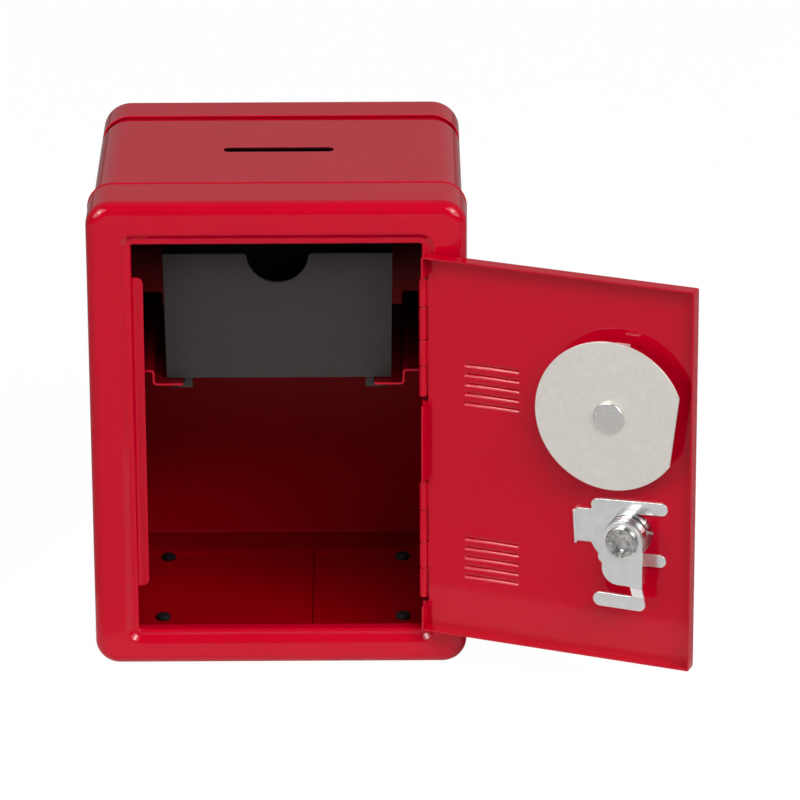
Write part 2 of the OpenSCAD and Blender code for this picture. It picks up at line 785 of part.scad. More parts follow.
// Horseshoe clip that slides over the barrel's groove, with its grip tab bent up.
module lock_clip() {
    slot_r = groove_r + run_gap;
    prong = 4.2;
    upper_l = 25.6;
    lower_l = 22.8;
    top = slot_r + prong;
    tab_x = -18.4;
    tab_root_x = -13.4;
    tab_bottom = -4;
    tab_top = 7.2;
    tab_h = 2.6;
    upper_neck = [-11.6, 8];
    lower_neck = [-12.2, -6.4];
    lower_bend = [-10.4, -8.6];
    upper_x = -8.3;
    lower_x = -7.4;
    color("#c8d0d2") on_lock(clip_n) rotate([0, 0, clip_turn]) {
        difference() {
            linear_extrude(clip_t) {
                translate([0, slot_r + prong / 2]) round_strip(upper_l, prong);
                translate([0, -slot_r - prong / 2]) round_strip(lower_l, prong);
                polygon([
                    [upper_x, top], [0, top], [0, -top], [lower_x, -top], lower_bend, lower_neck,
                    [tab_root_x, tab_bottom], [tab_x, tab_bottom], [tab_x, tab_top], [tab_root_x, tab_top], upper_neck
                ]);
            }
            translate([0, 0, -1]) cylinder(r = slot_r, h = clip_t + 2);
            translate([0, -slot_r, -1]) cube([upper_l, 2 * slot_r, clip_t + 2]);
        }
        translate([tab_x, tab_bottom, 0]) cube([clip_t, tab_top - tab_bottom, tab_h]);
    }
}

module lock_plug() {
    slot_w = key_t + 2 * run_gap;
    slot_l = key_w + 2 * run_gap;
    color("#c0c4c6") on_lock() difference() {
        rotate_extrude() {
            translate([0, lock_front_n]) square([plug_r, barrel_n - lock_front_n]);
            translate([0, barrel_n]) square([tail_r, cam_seat + cam_t]);
        }
        translate([-slot_w / 2, -slot_l / 2, lock_front_n - 1]) cube([slot_w, slot_l, key_l + 1.4]);
    }
}

module lock_cam() {
    neck_l_x = 2.8;
    bulge_r = 5.4;
    foot_l = 17.4;
    foot_x = -1.6;
    foot_z = -cam_joggle;
    foot_top = foot_half_w - cam_foot_l;
    color("#c8d0d2") on_lock(cam_n) difference() {
        union() {
            linear_extrude(cam_t) {
                circle(cam_r);
                translate([-cam_r, bulge_r - cam_l]) square([2 * cam_r, cam_l - bulge_r]);
                translate([bulge_r - cam_r, -cam_l]) square([2 * cam_r - bulge_r, bulge_r + eps]);
                translate([bulge_r - cam_r, bulge_r - cam_l]) circle(bulge_r);
            }
            translate([neck_l_x, 0, 0]) rotate([90, 0, 90]) linear_extrude(cam_r - neck_l_x) polygon([
                [-cam_l + eps, 0], [-cam_l + eps, cam_t], [-cam_l - 0.6, cam_t],
                [foot_top + 0.2, foot_z + cam_t], [foot_top - 0.5, foot_z + cam_t],
                [foot_top - 0.5, foot_z], [foot_top + 0.2, foot_z], [-cam_l - 0.6, 0]
            ]);
            translate([foot_x, -cam_foot_l, foot_z]) linear_extrude(cam_t) round_strip(foot_l, 2 * foot_half_w);
        }
        translate([0, 0, -1]) cylinder(r = tail_r + run_gap, h = cam_t + 2);
    }
}

// Rolled end of the plug's rivet, dished in the middle.
module cam_cap() {
    edge_r = 0.6;
    dish_z = 0.3;
    dish_r = 3.8;
    dish_floor_r = 1.6;
    color("#d0d4d6") on_lock(cap_n) rotate_extrude() difference() {
        union() {
            square([cap_r - edge_r, cap_h]);
            square([cap_r, cap_h - edge_r]);
            translate([cap_r - edge_r, cap_h - edge_r]) quarter_disc(edge_r, 1, 1);
        }
        polygon([[0, dish_z], [dish_floor_r, dish_z], [dish_r, cap_h + eps], [0, cap_h + eps]]);
    }
}

module key() {
    bow_n = key_front_n - bow_r;
    ring_hole_r = 1.9;
    ring_hole_out = 5;
    color("#b8bcbe") on_lock() translate([-key_t / 2, 0, 0]) rotate([90, 0, 90]) linear_extrude(key_t) {
        difference() {
            union() {
                translate([0, bow_n]) circle(bow_r);
                translate([-key_w / 2, bow_n]) square([key_w, lock_front_n + key_l - bow_n]);
            }
            translate([0, bow_n - ring_hole_out]) circle(ring_hole_r);
        }
    }
}

front_frame();
body_sleeve();
rear_cover();
push_in_feet();
left_rail();
right_rail();
upper_hinge_pin();
lower_hinge_pin();
door_panel();
dial_scale_ring();
spindle_bush();
dial_knob();
dial_spindle();
gate_washer();
gate_disc();
lock_barrel();
lock_clip();
lock_plug();
lock_cam();
cam_cap();
key();
coin_tray();
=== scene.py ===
# %% [markdown]
# A toy safe money box of red enamelled sheet steel, with its door open. The box, its hinges, lock and tray
# are packed as a fixed model of exact solids. This file dresses that model: it makes sheet metal with
# rolled edges, thin enamel, bare zinc and moulded plastic, and puts each piece where the solids say that it
# is.

from math import cos, pi, radians, sin

import bmesh
import bpy
from mathutils import Matrix, Vector


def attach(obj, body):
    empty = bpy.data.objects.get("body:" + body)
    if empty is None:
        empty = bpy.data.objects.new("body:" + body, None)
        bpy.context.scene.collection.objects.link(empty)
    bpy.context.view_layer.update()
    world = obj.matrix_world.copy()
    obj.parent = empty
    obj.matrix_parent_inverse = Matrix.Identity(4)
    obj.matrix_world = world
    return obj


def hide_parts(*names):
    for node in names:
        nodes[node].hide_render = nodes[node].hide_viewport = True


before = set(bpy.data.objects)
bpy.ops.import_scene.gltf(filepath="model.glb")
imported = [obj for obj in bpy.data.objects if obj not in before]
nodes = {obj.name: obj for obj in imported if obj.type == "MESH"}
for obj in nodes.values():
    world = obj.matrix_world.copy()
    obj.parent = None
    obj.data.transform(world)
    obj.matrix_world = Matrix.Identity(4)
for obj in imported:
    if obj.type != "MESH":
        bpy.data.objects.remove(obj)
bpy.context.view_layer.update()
print("packed nodes:", len(nodes))

# %% [markdown]
# The camera comes first, because every later choice is judged through it. The photograph was taken with a
# long lens from the front and above, so that upright edges hardly run together. A camera can be aimed by
# eye or by numbers. Numbers were chosen: a place in millimetres from the middle of the rear cover, and
# three small turns.

# %% Camera
MM = 0.001
CAMERA_LENS = 242.51
SENSOR_W = 36
CAMERA_PLACE = Vector((35.49, -1706.98, 627.16)) * MM
CAMERA_YAW = radians(0.117)
CAMERA_PITCH = radians(21.027)
CAMERA_ROLL = radians(0.241)


def add_camera():
    """A camera that looks along +Y, turned right, tipped down and rolled by small angles."""
    forward = Vector((
        sin(CAMERA_YAW) * cos(CAMERA_PITCH), cos(CAMERA_YAW) * cos(CAMERA_PITCH), -sin(CAMERA_PITCH)))
    right = Vector((cos(CAMERA_YAW), -sin(CAMERA_YAW), 0))
    down = forward.cross(right)
    across = cos(CAMERA_ROLL) * right + sin(CAMERA_ROLL) * down
    along = -sin(CAMERA_ROLL) * right + cos(CAMERA_ROLL) * down
    data = bpy.data.cameras.new("camera")
    data.lens = CAMERA_LENS
    data.sensor_width = SENSOR_W
    camera = bpy.data.objects.new("camera", data)
    bpy.context.scene.collection.objects.link(camera)
    turn = Matrix((across, -along, -forward)).transposed().to_4x4()
    camera.matrix_world = Matrix.Translation(CAMERA_PLACE) @ turn
    bpy.context.scene.camera = camera


add_camera()
print("camera lens:", CAMERA_LENS, "mm")

# %% [markdown]
# Small helpers carry every finish. Colours are written as sRGB hex, as a painter's swatch gives them, and
# one function turns them to the linear values that the shader mixes. Another adds a node with settings and
# links, so that a material reads as a short list of what it is made of.

# %% Colour and node helpers


def linear(swatch):
    """The linear colour of an sRGB hex swatch."""
    parts = [int(swatch[i:i + 2], 16) / 255 for i in (1, 3, 5)]
    return [p / 12.92 if p <= 0.04045 else ((p + 0.055) / 1.055) ** 2.4 for p in parts] + [1.0]


def add_node(tree, kind, settings=None, links=None):
    """A new node. A setting is an input's value where the node has that input, or else a property."""
    node = tree.nodes.new(kind)
    for key, value in (settings or {}).items():
        if isinstance(key, int) or key in node.inputs:
            node.inputs[key].default_value = value
        else:
            setattr(node, key, value)
    for key, socket in (links or {}).items():
        tree.links.new(socket, node.inputs[key])
    return node


def new_finish(name, settings):
    """A material with one principled shader, and its node tree."""
    material = bpy.data.materials.new(name)
    material.use_nodes = True
    tree = material.node_tree
    shader = tree.nodes["Principled BSDF"]
    for key, value in settings.items():
        shader.inputs[key].default_value = value
    return material, tree, shader


print("enamel red in linear values:", [round(c, 3) for c in linear("#B90020")])

# %% [markdown]
# The world does three jobs, which the Light Path node keeps apart. The camera sees pure white, as behind
# the box in the photograph. A glossy surface sees a plain room, pale behind the box and darker on the
# camera's side, because enamel that mirrors nothing but white looks washed out. All the rest gets a low and
# even fill.

# %% World
FILL = 0.26
ROOM_IN_FRONT = 0.09
ROOM_BEHIND = 0.33
# The Y parts of a direction between which the room goes from dark to pale
ROOM_FROM, ROOM_TO = -0.4, 0.6
WHITE = (1, 1, 1, 1)


def graded_world():
    """White for the camera, a room that is pale behind and dark in front for mirrors, and a low even fill."""
    world = bpy.data.worlds.new("surround")
    bpy.context.scene.world = world
    world.use_nodes = True
    tree = world.node_tree
    tree.nodes.clear()
    path = add_node(tree, "ShaderNodeLightPath")
    way = add_node(tree, "ShaderNodeTexCoord")
    axes = add_node(tree, "ShaderNodeSeparateXYZ", {}, {"Vector": way.outputs["Generated"]})
    depth = add_node(
        tree, "ShaderNodeMapRange",
        {"From Min": ROOM_FROM, "From Max": ROOM_TO, "To Min": ROOM_IN_FRONT, "To Max": ROOM_BEHIND},
        {"Value": axes.outputs["Y"]})
    fill = add_node(tree, "ShaderNodeBackground", {"Color": WHITE, "Strength": FILL})
    room = add_node(tree, "ShaderNodeBackground", {"Color": WHITE}, {"Strength": depth.outputs[0]})
    white = add_node(tree, "ShaderNodeBackground", {"Color": WHITE, "Strength": 1.0})
    mirrored = add_node(tree, "ShaderNodeMixShader", {},
                        {0: path.outputs["Is Glossy Ray"], 1: fill.outputs[0], 2: room.outputs[0]})
    mix = add_node(tree, "ShaderNodeMixShader", {},
                   {0: path.outputs["Is Camera Ray"], 1: mirrored.outputs[0], 2: white.outputs[0]})
    add_node(tree, "ShaderNodeOutputWorld", {}, {0: mix.outputs[0]})


graded_world()
print("fill:", FILL, "room:", ROOM_IN_FRONT, "to", ROOM_BEHIND)

# %% [markdown]
# Soft boxes shape the box. A lamp that both lights and is mirrored is hard to balance on glossy enamel, so
# the two jobs are split. Three boxes only light, at a level where a colour renders about as it is written.
# On each side a window with a brighter core is only mirrored, and it draws the soft glints along the rolled
# edges.

# %% Soft boxes
LAMPS_AIM_AT = Vector((0, -0.05, 0))


def soft_box(name, place, size, power, mirrored):
    """A square area lamp, with place and size in metres. It either lights or is only mirrored."""
    data = bpy.data.lights.new(name, "AREA")
    data.shape = "SQUARE"
    data.size = size
    data.energy = power
    lamp = bpy.data.objects.new(name, data)
    bpy.context.scene.collection.objects.link(lamp)
    aim = (LAMPS_AIM_AT - Vector(place)).to_track_quat("-Z", "Y")
    lamp.matrix_world = Matrix.Translation(Vector(place)) @ aim.to_matrix().to_4x4()
    lamp.visible_glossy = mirrored
    lamp.visible_diffuse = not mirrored


soft_box("front_box", (0.33, -1.0, 1.05), 0.8, 12.9, mirrored=False)
soft_box("left_fill", (-1.05, -0.9, 0.42), 0.6, 5.6, mirrored=False)
soft_box("right_fill", (0.95, -0.95, 0.9), 0.5, 6.0, mirrored=False)
for side, x in (("left", -1.0), ("right", 1.0)):
    soft_box(side + "_window", (0.94 * x, -0.86, 0.84), 1.05, 14, mirrored=True)
    soft_box(side + "_core", (0.81 * x, -0.89, 0.8), 0.3, 5.5, mirrored=True)
print("soft boxes:", len(bpy.data.lights))

# %% [markdown]
# The floor is two pale sheets, a wide grey table and a small lighter paper under the box, turned a little.
# The lower parts of the enamel mirror them, and a single even floor would leave those parts flat. The
# camera sees both as white glow, with a small share left for the shadow at the box's foot.

# %% Floor
FLOOR_Z = -80.1 * MM
TABLE_DROP = 0.4 * MM
TABLE_HALF = 3.0
PAPER_HALF = 0.13
PAPER_MIDDLE = (0.046, -0.038)
PAPER_TURN = radians(-21)
GLOW = 1.05
GLOW_SHARE = 0.93


def add_floor(name, middle, turn, height, half_size, swatch):
    """A pale sheet that keeps the object's soft shadow and shows white to the camera."""
    bm = bmesh.new()
    bmesh.ops.create_grid(bm, x_segments=1, y_segments=1, size=half_size)
    bmesh.ops.rotate(bm, verts=bm.verts, cent=(0, 0, 0), matrix=Matrix.Rotation(turn, 3, "Z"))
    bmesh.ops.translate(bm, verts=bm.verts, vec=(*middle, height))
    mesh = bpy.data.meshes.new(name)
    bm.to_mesh(mesh)
    bm.free()
    floor = bpy.data.objects.new(name, mesh)
    bpy.context.scene.collection.objects.link(floor)
    material, tree, shader = new_finish(name + "_matt", {"Base Color": linear(swatch), "Roughness": 0.9})
    path = add_node(tree, "ShaderNodeLightPath")
    glow = add_node(tree, "ShaderNodeEmission", {"Color": WHITE, "Strength": GLOW})
    share = add_node(tree, "ShaderNodeMath", {"operation": "MULTIPLY", 1: GLOW_SHARE},
                     {0: path.outputs["Is Camera Ray"]})
    mix = add_node(tree, "ShaderNodeMixShader", {},
                   {0: share.outputs[0], 1: shader.outputs[0], 2: glow.outputs[0]})
    tree.links.new(mix.outputs[0], tree.nodes["Material Output"].inputs[0])
    floor.data.materials.append(material)


add_floor("pale_table", (0, 0), 0, FLOOR_Z - TABLE_DROP, TABLE_HALF, "#AEAEAE")
add_floor("white_paper", PAPER_MIDDLE, PAPER_TURN, FLOOR_Z, PAPER_HALF, "#EEEEEE")
print("paper at", FLOOR_Z / MM, "mm")

# %% [markdown]
# The case, the door and the rails are stoved enamel on sheet steel: thin, glossy and a little uneven, like
# the skin of an orange. It could be a base with a clear coat over it. One plain shader was chosen, because
# the real coat is a single one, and a low gloss level keeps its red deep. Two noises follow the object's
# own coordinates: a wide one shifts the tone a little, and a narrow one bends what the surface mirrors.

# %% Red enamel
CLOUD_MM = 22.22
SKIN_DEPTH_MM = 0.08
# Painted shade on the linings: over this many millimetres the colour fades to this share of near black
SHADE_FADE_MM = 25
SHADE_DARKEST_SHARE = 0.9
PAINTED_SHADE_BLACK = "#120002"


def red_enamel(name, dark, light, roughness, gloss, wave_mm, painted_shade_above=None):
    """Stoved enamel. Above a given height in millimetres the colour fades towards near black, as painted
    shade.
    """
    material, tree, shader = new_finish(
        name, {"Roughness": roughness, "IOR": 1.5, "Specular IOR Level": gloss})
    place = add_node(tree, "ShaderNodeTexCoord")
    cloud = add_node(tree, "ShaderNodeTexNoise", {"Scale": 1 / (CLOUD_MM * MM), "Detail": 2.0},
                     {"Vector": place.outputs["Object"]})
    tone = add_node(tree, "ShaderNodeValToRGB", {}, {"Fac": cloud.outputs["Fac"]})
    tone.color_ramp.elements[0].color = linear(dark)
    tone.color_ramp.elements[1].color = linear(light)
    colour = tone.outputs["Color"]
    # Painted shade: from the given height upwards the colour fades towards near black
    if painted_shade_above is not None:
        axes = add_node(tree, "ShaderNodeSeparateXYZ", {}, {"Vector": place.outputs["Object"]})
        ends = painted_shade_above + SHADE_FADE_MM
        painted_shade_mask = add_node(
            tree, "ShaderNodeMapRange",
            {"From Min": painted_shade_above * MM, "From Max": ends * MM, "To Max": SHADE_DARKEST_SHARE},
            {"Value": axes.outputs["Z"]})
        colour = add_node(tree, "ShaderNodeMixRGB", {"Color2": linear(PAINTED_SHADE_BLACK)},
                          {"Fac": painted_shade_mask.outputs[0], "Color1": colour}).outputs[0]
    tree.links.new(colour, shader.inputs["Base Color"])
    skin = add_node(tree, "ShaderNodeTexNoise", {"Scale": 1 / (wave_mm * MM), "Detail": 1.0},
                    {"Vector": place.outputs["Object"]})
    wave = add_node(tree, "ShaderNodeBump", {"Strength": 0.5, "Distance": SKIN_DEPTH_MM * MM},
                    {"Height": skin.outputs["Fac"]})
    tree.links.new(wave.outputs["Normal"], shader.inputs["Normal"])
    return material


# The full outer coat mirrors sharply, with a slight waver along each edge that it mirrors
RED_ENAMEL = red_enamel("stoved_red_enamel", "#B90020", "#C10023", 0.06, 0.30, 2.8)
# Lining of the sleeve: duller, and darker red than the outer coat as painted shade; from 5 mm up it fades to
# near black beside the tray, also painted shade
LINING_PAINTED_SHADE = red_enamel("sleeve_lining_painted_shade", "#8E000A", "#98000C", 0.22, 0.12, 1.2, painted_shade_above=5)
# Lining of the rear cover: duller, and darker red than the outer coat as painted shade, a little lighter than
# the sleeve's lining; it too fades to near black from 5 mm up as painted shade
COVER_LINING_PAINTED_SHADE = red_enamel("cover_lining_painted_shade", "#AE0012", "#B60016", 0.3, 0.12, 1.2, painted_shade_above=5)
# Rails and the seam lap's inner face: a dark red that is painted shade, so the rails read as a step in the
# tray's shade and the seam as a dark line
SHADED_COAT = red_enamel("rails_painted_shade", "#54000A", "#5E000C", 0.22, 0.12, 1.2)
print("finishes:", RED_ENAMEL.name, LINING_PAINTED_SHADE.name, COVER_LINING_PAINTED_SHADE.name, SHADED_COAT.name)

# %% [markdown]
# The bare parts are plated steel, chromed casting, wire, brass and aluminium. Each could have its own
# shader, but they differ only in tone, gloss and grain, so one function makes them all. The grain of a
# plated part is a few hundredths of a millimetre, too fine to show, so it is drawn at half a millimetre and
# more. Where a dull skin scatters part of the light, the metallic share is below one.

# %% Bare metals
WIRE_STRETCH = 0.1


def bare_metal(name, dark, light, roughness, grain_mm, depth_mm, stretch=1.0, metallic=1.0):
    """A metal whose tone and height follow a grain, which is longer along one way where it was drawn."""
    material, tree, shader = new_finish(name, {"Metallic": metallic, "Roughness": roughness})
    place = add_node(tree, "ShaderNodeTexCoord")
    lay = add_node(tree, "ShaderNodeMapping", {"Scale": (1.0, 1.0, stretch)},
                   {"Vector": place.outputs["Object"]})
    grain = add_node(tree, "ShaderNodeTexNoise", {"Scale": 1.0 / (grain_mm * MM), "Detail": 3.0},
                     {"Vector": lay.outputs["Vector"]})
    tone = add_node(tree, "ShaderNodeValToRGB", {}, {"Fac": grain.outputs["Fac"]})
    tone.color_ramp.elements[0].position = 0.3
    tone.color_ramp.elements[0].color = linear(dark)
    tone.color_ramp.elements[1].position = 0.7
    tone.color_ramp.elements[1].color = linear(light)
    tree.links.new(tone.outputs["Color"], shader.inputs["Base Color"])
    relief = add_node(tree, "ShaderNodeBump", {"Strength": 0.5, "Distance": depth_mm * MM},
                      {"Height": grain.outputs["Fac"]})
    tree.links.new(relief.outputs["Normal"], shader.inputs["Normal"])
    return material


# The galvanised gate disc is pale, cloudy and half dull, so it reads as flat sheet and not as a mirror
GALVANISED = bare_metal("galvanised_steel_satin", "#E2DDD6", "#E9E4DD", 0.42, 1.8, 0.002, metallic=0.62)
# Bright zinc on the clip and the cam is a cold white with soft glints
ZINC_PLATE = bare_metal("bright_zinc_plate", "#ECEEED", "#F8FAF9", 0.2, 2.5, 0.003, metallic=0.8)
# Chrome on the barrel and the plug shows hard streaks of light and dark
CHROME = bare_metal("chromed_die_casting", "#C9CCCE", "#DADDDF", 0.07, 3.0, 0.002)
# The hinge pins are drawn wire, grey and streaked along their length
WIRE_STEEL = bare_metal("drawn_steel_wire", "#8E8E8E", "#B6B6B6", 0.3, 0.8, 0.004, WIRE_STRETCH)
# Turned brass gives the hidden bush and washer a warm satin
BRASS = bare_metal("turned_brass", "#B59A5A", "#CFB674", 0.3, 0.9, 0.003)
# Nickel on the spindle and the key is a warm grey with wide soft glints
NICKEL = bare_metal("nickel_plated_steel", "#CFCDC9", "#E8E6E2", 0.24, 0.5, 0.006, metallic=0.8)
# The cam's cap is peened, its dents a shallow bump; the strong light and dark patches in its tone are painted
# glints and painted shade
PEENED_WITH_PAINTED_GLINTS = bare_metal("peened_steel_painted_glints", "#82827F", "#EEEEEC", 0.16, 1.5, 0.04)
# Satin aluminium is an even grey, from which the dial's black marks stand out
ALUMINIUM = bare_metal("satin_aluminium_sheet", "#C4C4C4", "#D8D8D8", 0.36, 0.7, 0.003)
METALS = (GALVANISED, ZINC_PLATE, CHROME, WIRE_STEEL, BRASS, NICKEL, PEENED_WITH_PAINTED_GLINTS, ALUMINIUM)
print("bare metals:", len(METALS))

# %% [markdown]
# The tray and the knob are moulded plastic and the feet are rubber. What tells them from paint is the grain
# that the mould was blasted with. It is finer than the render can show, so it is drawn at half a millimetre
# and more, as a slight change of tone with a shallow bump.

# %% Plastics and rubber


def grained_plastic(name, dark, light, roughness, grain_mm, depth_mm):
    """A moulded plastic or rubber with the fine grain that its mould was etched or blasted with."""
    material, tree, shader = new_finish(
        name, {"Roughness": roughness, "IOR": 1.5, "Specular IOR Level": 0.3})
    place = add_node(tree, "ShaderNodeTexCoord")
    grain = add_node(tree, "ShaderNodeTexNoise",
                     {"Scale": 1.0 / (grain_mm * MM), "Detail": 3.0, "Roughness": 0.6},
                     {"Vector": place.outputs["Object"]})
    tone = add_node(tree, "ShaderNodeValToRGB", {}, {"Fac": grain.outputs["Fac"]})
    tone.color_ramp.elements[0].position = 0.35
    tone.color_ramp.elements[0].color = linear(dark)
    tone.color_ramp.elements[1].position = 0.65
    tone.color_ramp.elements[1].color = linear(light)
    tree.links.new(tone.outputs["Color"], shader.inputs["Base Color"])
    relief = add_node(tree, "ShaderNodeBump", {"Strength": 0.6, "Distance": depth_mm * MM},
                      {"Height": grain.outputs["Fac"]})
    tree.links.new(relief.outputs["Normal"], shader.inputs["Normal"])
    return material


# The tray's charcoal is broken up by its grain, so its wide walls stay soft
TRAY_PLASTIC = grained_plastic("moulded_charcoal_plastic", "#2B2727", "#342F2D", 0.5, 0.6, 0.02)
# The knob is nearly polished and shows small sharp glints on its flutes
KNOB_PLASTIC = grained_plastic("moulded_black_plastic", "#0E0D0D", "#151414", 0.25, 1.2, 0.003)
# Rubber swallows light, so that a foot is a plain black dot
RUBBER = grained_plastic("black_rubber", "#060505", "#0B0A0A", 0.75, 0.8, 0.02)
# White ink is flat and bright
WHITE_PRINT = grained_plastic("white_pad_print", "#E2E2E0", "#ECECEA", 0.5, 0.5, 0.002)
print("plastics, rubber and print:", len((TRAY_PLASTIC, KNOB_PLASTIC, RUBBER, WHITE_PRINT)))

# %% [markdown]
# Pressed sheet is drawn as one skin in its true outline and then given its thickness. A wire of a few
# points is the section; rounding its corners gives the bends, and carrying it once round the case gives
# corners of one radius. All sizes here are millimetres, as on the drawing, and a piece is turned to metres
# when it is finished.

# %% Sections and sweeps
MERGE = 0.001
TOUCH = 0.01


def wire(bm, points):
    """A section line through a few points."""
    verts = [bm.verts.new(point) for point in points]
    for pair in zip(verts, verts[1:]):
        bm.edges.new(pair)
    return verts


def round_bends(bm, bends):
    """Rounds corners of a section or a sheet. A bend is a corner, how far back it starts, and its steps."""
    for corner, reach, steps in bends:
        bmesh.ops.bevel(bm, geom=[corner], offset=reach, segments=steps, profile=0.5, affect="VERTICES",
                        material=-1)


def moved_copy(bm, edges, way):
    """Extrudes edges into a new strip, and returns the strip's far edges."""
    grown = bmesh.ops.extrude_edge_only(bm, edges=edges)["geom"]
    bmesh.ops.translate(bm, verts=[g for g in grown if isinstance(g, bmesh.types.BMVert)], vec=way)
    return [g for g in grown if isinstance(g, bmesh.types.BMEdge)]


def spun_copy(bm, edges, middle, axis, angle, steps):
    """Spins edges into a bent strip, and returns the strip's far edges."""
    geom = list({vert for edge in edges for vert in edge.verts}) + edges
    last = bmesh.ops.spin(bm, geom=geom, cent=middle, axis=axis, angle=angle, steps=steps)["geom_last"]
    return [g for g in last if isinstance(g, bmesh.types.BMEdge)]


def sweep_round(bm, half_w, half_h, steps=12):
    """Carries the section, drawn right of the lower right corner's middle, once round a case."""
    edges = [edge for edge in bm.edges if edge.is_wire]
    here = Vector((half_w, 0, -half_h))
    for x, z in ((half_w, half_h), (-half_w, half_h), (-half_w, -half_h), (half_w, -half_h)):
        there = Vector((x, 0, z))
        edges = moved_copy(bm, edges, there - here)
        edges = spun_copy(bm, edges, there, (0, -1, 0), pi / 2, steps)
        here = there
    bmesh.ops.remove_doubles(bm, verts=bm.verts, dist=MERGE)


def face_outwards(bm, way):
    """Turns all faces outwards, judged by the face that lies farthest along a way."""
    bmesh.ops.recalc_face_normals(bm, faces=bm.faces)
    way = Vector(way)
    bm.normal_update()
    outer = max(bm.faces, key=lambda face: (round(face.calc_center_median().dot(way), 3), face.calc_area()))
    if outer.normal.dot(way) < 0:
        bmesh.ops.reverse_faces(bm, faces=bm.faces)


print("sections are joined within", MERGE, "mm")

# %% [markdown]
# Slots, holes and cut-outs are sawn into the skin before it gets its thickness. A boolean would do it too,
# but it leaves long thin faces that shade badly. So the faces are cut along planes, and those inside are
# dropped.

# %% Cuts and joins


def cut_planes(bm, faces_in, planes):
    """Cuts the faces that a test picks along planes given as (axis, place)."""
    for axis, place in planes:
        point = Vector((0, 0, 0))
        normal = Vector((0, 0, 0))
        point[axis] = place
        normal[axis] = 1.0
        faces = [face for face in bm.faces if faces_in(face.calc_center_median())]
        geom = faces + list({e for f in faces for e in f.edges}) + list({v for f in faces for v in f.verts})
        bmesh.ops.bisect_plane(bm, geom=geom, dist=MERGE / 2, plane_co=point, plane_no=normal)


def drop_faces(bm, faces_in):
    """Removes the faces whose middle a test picks."""
    bmesh.ops.delete(bm, geom=[f for f in bm.faces if faces_in(f.calc_center_median())], context="FACES")


def add_bmesh(bm, extra):
    """Adds a second bmesh to the first."""
    carrier = bpy.data.meshes.new("carrier")
    extra.to_mesh(carrier)
    extra.free()
    bm.from_mesh(carrier)
    bpy.data.meshes.remove(carrier)


print("cuts are made within", MERGE / 2, "mm")

# %% [markdown]
# Every piece ends in the same way. Its mesh is scaled to metres, with its place in the mesh. Modifiers give
# the sheet its thickness and ease its edges, because a real fold always catches a thin line of light. Then
# the piece rides on its body, fills a material slot and stands in for the plain solids that it dresses.

# %% Finished pieces


def add_piece(bm, name, body, material, replaced=(), sheet=0.0, edge=0.0, sharp=35, lining=None,
              rim=None):
    """A finished piece, which rides on a body. A sheet gets thickness, a lining, a rim and eased edges."""
    bmesh.ops.scale(bm, vec=(MM, MM, MM), verts=bm.verts)
    for face in bm.faces:
        face.smooth = True
    mesh = bpy.data.meshes.new(name)
    bm.to_mesh(mesh)
    bm.free()
    mesh.materials.append(material)
    for second in (lining, rim):
        mesh.materials.append(second or material)
    piece = bpy.data.objects.new(name, mesh)
    bpy.context.scene.collection.objects.link(piece)
    if sheet:
        wall = piece.modifiers.new("sheet_thickness", "SOLIDIFY")
        wall.thickness = sheet * MM
        wall.offset = -1
        wall.use_even_offset = True
        wall.material_offset = 1
        wall.material_offset_rim = 2
    if edge:
        ease = piece.modifiers.new("eased_edges", "BEVEL")
        ease.width = edge * MM
        ease.segments = 2
        ease.limit_method = "ANGLE"
        ease.angle_limit = radians(sharp)
    flat = piece.modifiers.new("even_shading", "WEIGHTED_NORMAL")
    flat.keep_sharp = True
    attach(piece, body)
    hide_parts(*replaced)
    return piece


print("ready to dress", len(nodes), "nodes")

# %% [markdown]
# The front frame is one pressing: a skirt over the sleeve, a rolled bead round the front, a flat crest, and
# round the doorway a slope, a sunk band and a return that folds back inside. Its sizes come first, in
# millimetres from the middle of the rear cover's outer face. The hinges stand in the doorway's right side,
# so their places belong here.

# %% Front frame sizes
# The case: half sizes, corner, bead, skirt with its flared edge, and the sheet
FRONT_Y = -109.0
HALF_W = 60.0
HALF_H = 78.8
CASE_R = 7.9
BEAD_R = 4.0
SKIRT_D = 21.0
FLARE = 0.3
FLARE_L = 0.4
FRAME_T = 0.8
CORNER_IN = 1.5

# The doorway, from the crest inwards
DOORWAY_Z = -1.0
DOOR_HALF_W = 45.8
DOOR_HALF_H = 65.8
DOORWAY_R = 0.7
CREST_STRIP = 0.6
SLOPE_W = 2.0
SLOPE_BEND = 0.45
BAND_W = 2.0
BAND_D = 1.6
BAND_BEND = 0.35
FOLD_R = 1.0
RETURN_D = 4.0
SILL_Z = DOORWAY_Z - DOOR_HALF_H

# The hinges: four knuckles each, from the top down, and the room that is cut out round them
HINGE_X = 46.15
HINGE_DEPTH = 0.4
HINGE_Y = FRONT_Y + HINGE_DEPTH
HINGE_TOPS = (SILL_Z + 120.4, SILL_Z + 51.3)
KNUCKLES = (9.2, 11.0, 8.6, 10.0)
KNUCKLE_GAP = 0.2
HINGE_L = sum(KNUCKLES) + 3 * KNUCKLE_GAP
RELIEF_ABOVE = 1.0
RELIEF_BELOW = 2.3


def relief_heights():
    """Lower and upper height of the cut-out round each hinge."""
    return [(top - HINGE_L - RELIEF_BELOW, top + RELIEF_ABOVE) for top in HINGE_TOPS]


def in_reliefs(z):
    """Whether a height lies in one of the two hinge cut-outs."""
    return any(low < z < high for low, high in relief_heights())


def relief_planes():
    """The level planes that bound the hinge cut-outs."""
    return [(2, z) for heights in relief_heights() for z in heights]


print("front:", 2 * HALF_W, "x", 2 * HALF_H, "mm, doorway:", 2 * DOOR_HALF_W, "x", 2 * DOOR_HALF_H, "mm")

# %% [markdown]
# The strike lip is the strip that the lock's cam catches behind. On the real frame it isn't a separate
# part: the left return is made deeper there and folded inwards. So it is grown from the return's own edge,
# spun through a quarter turn and moved on, and its two free corners are rounded.

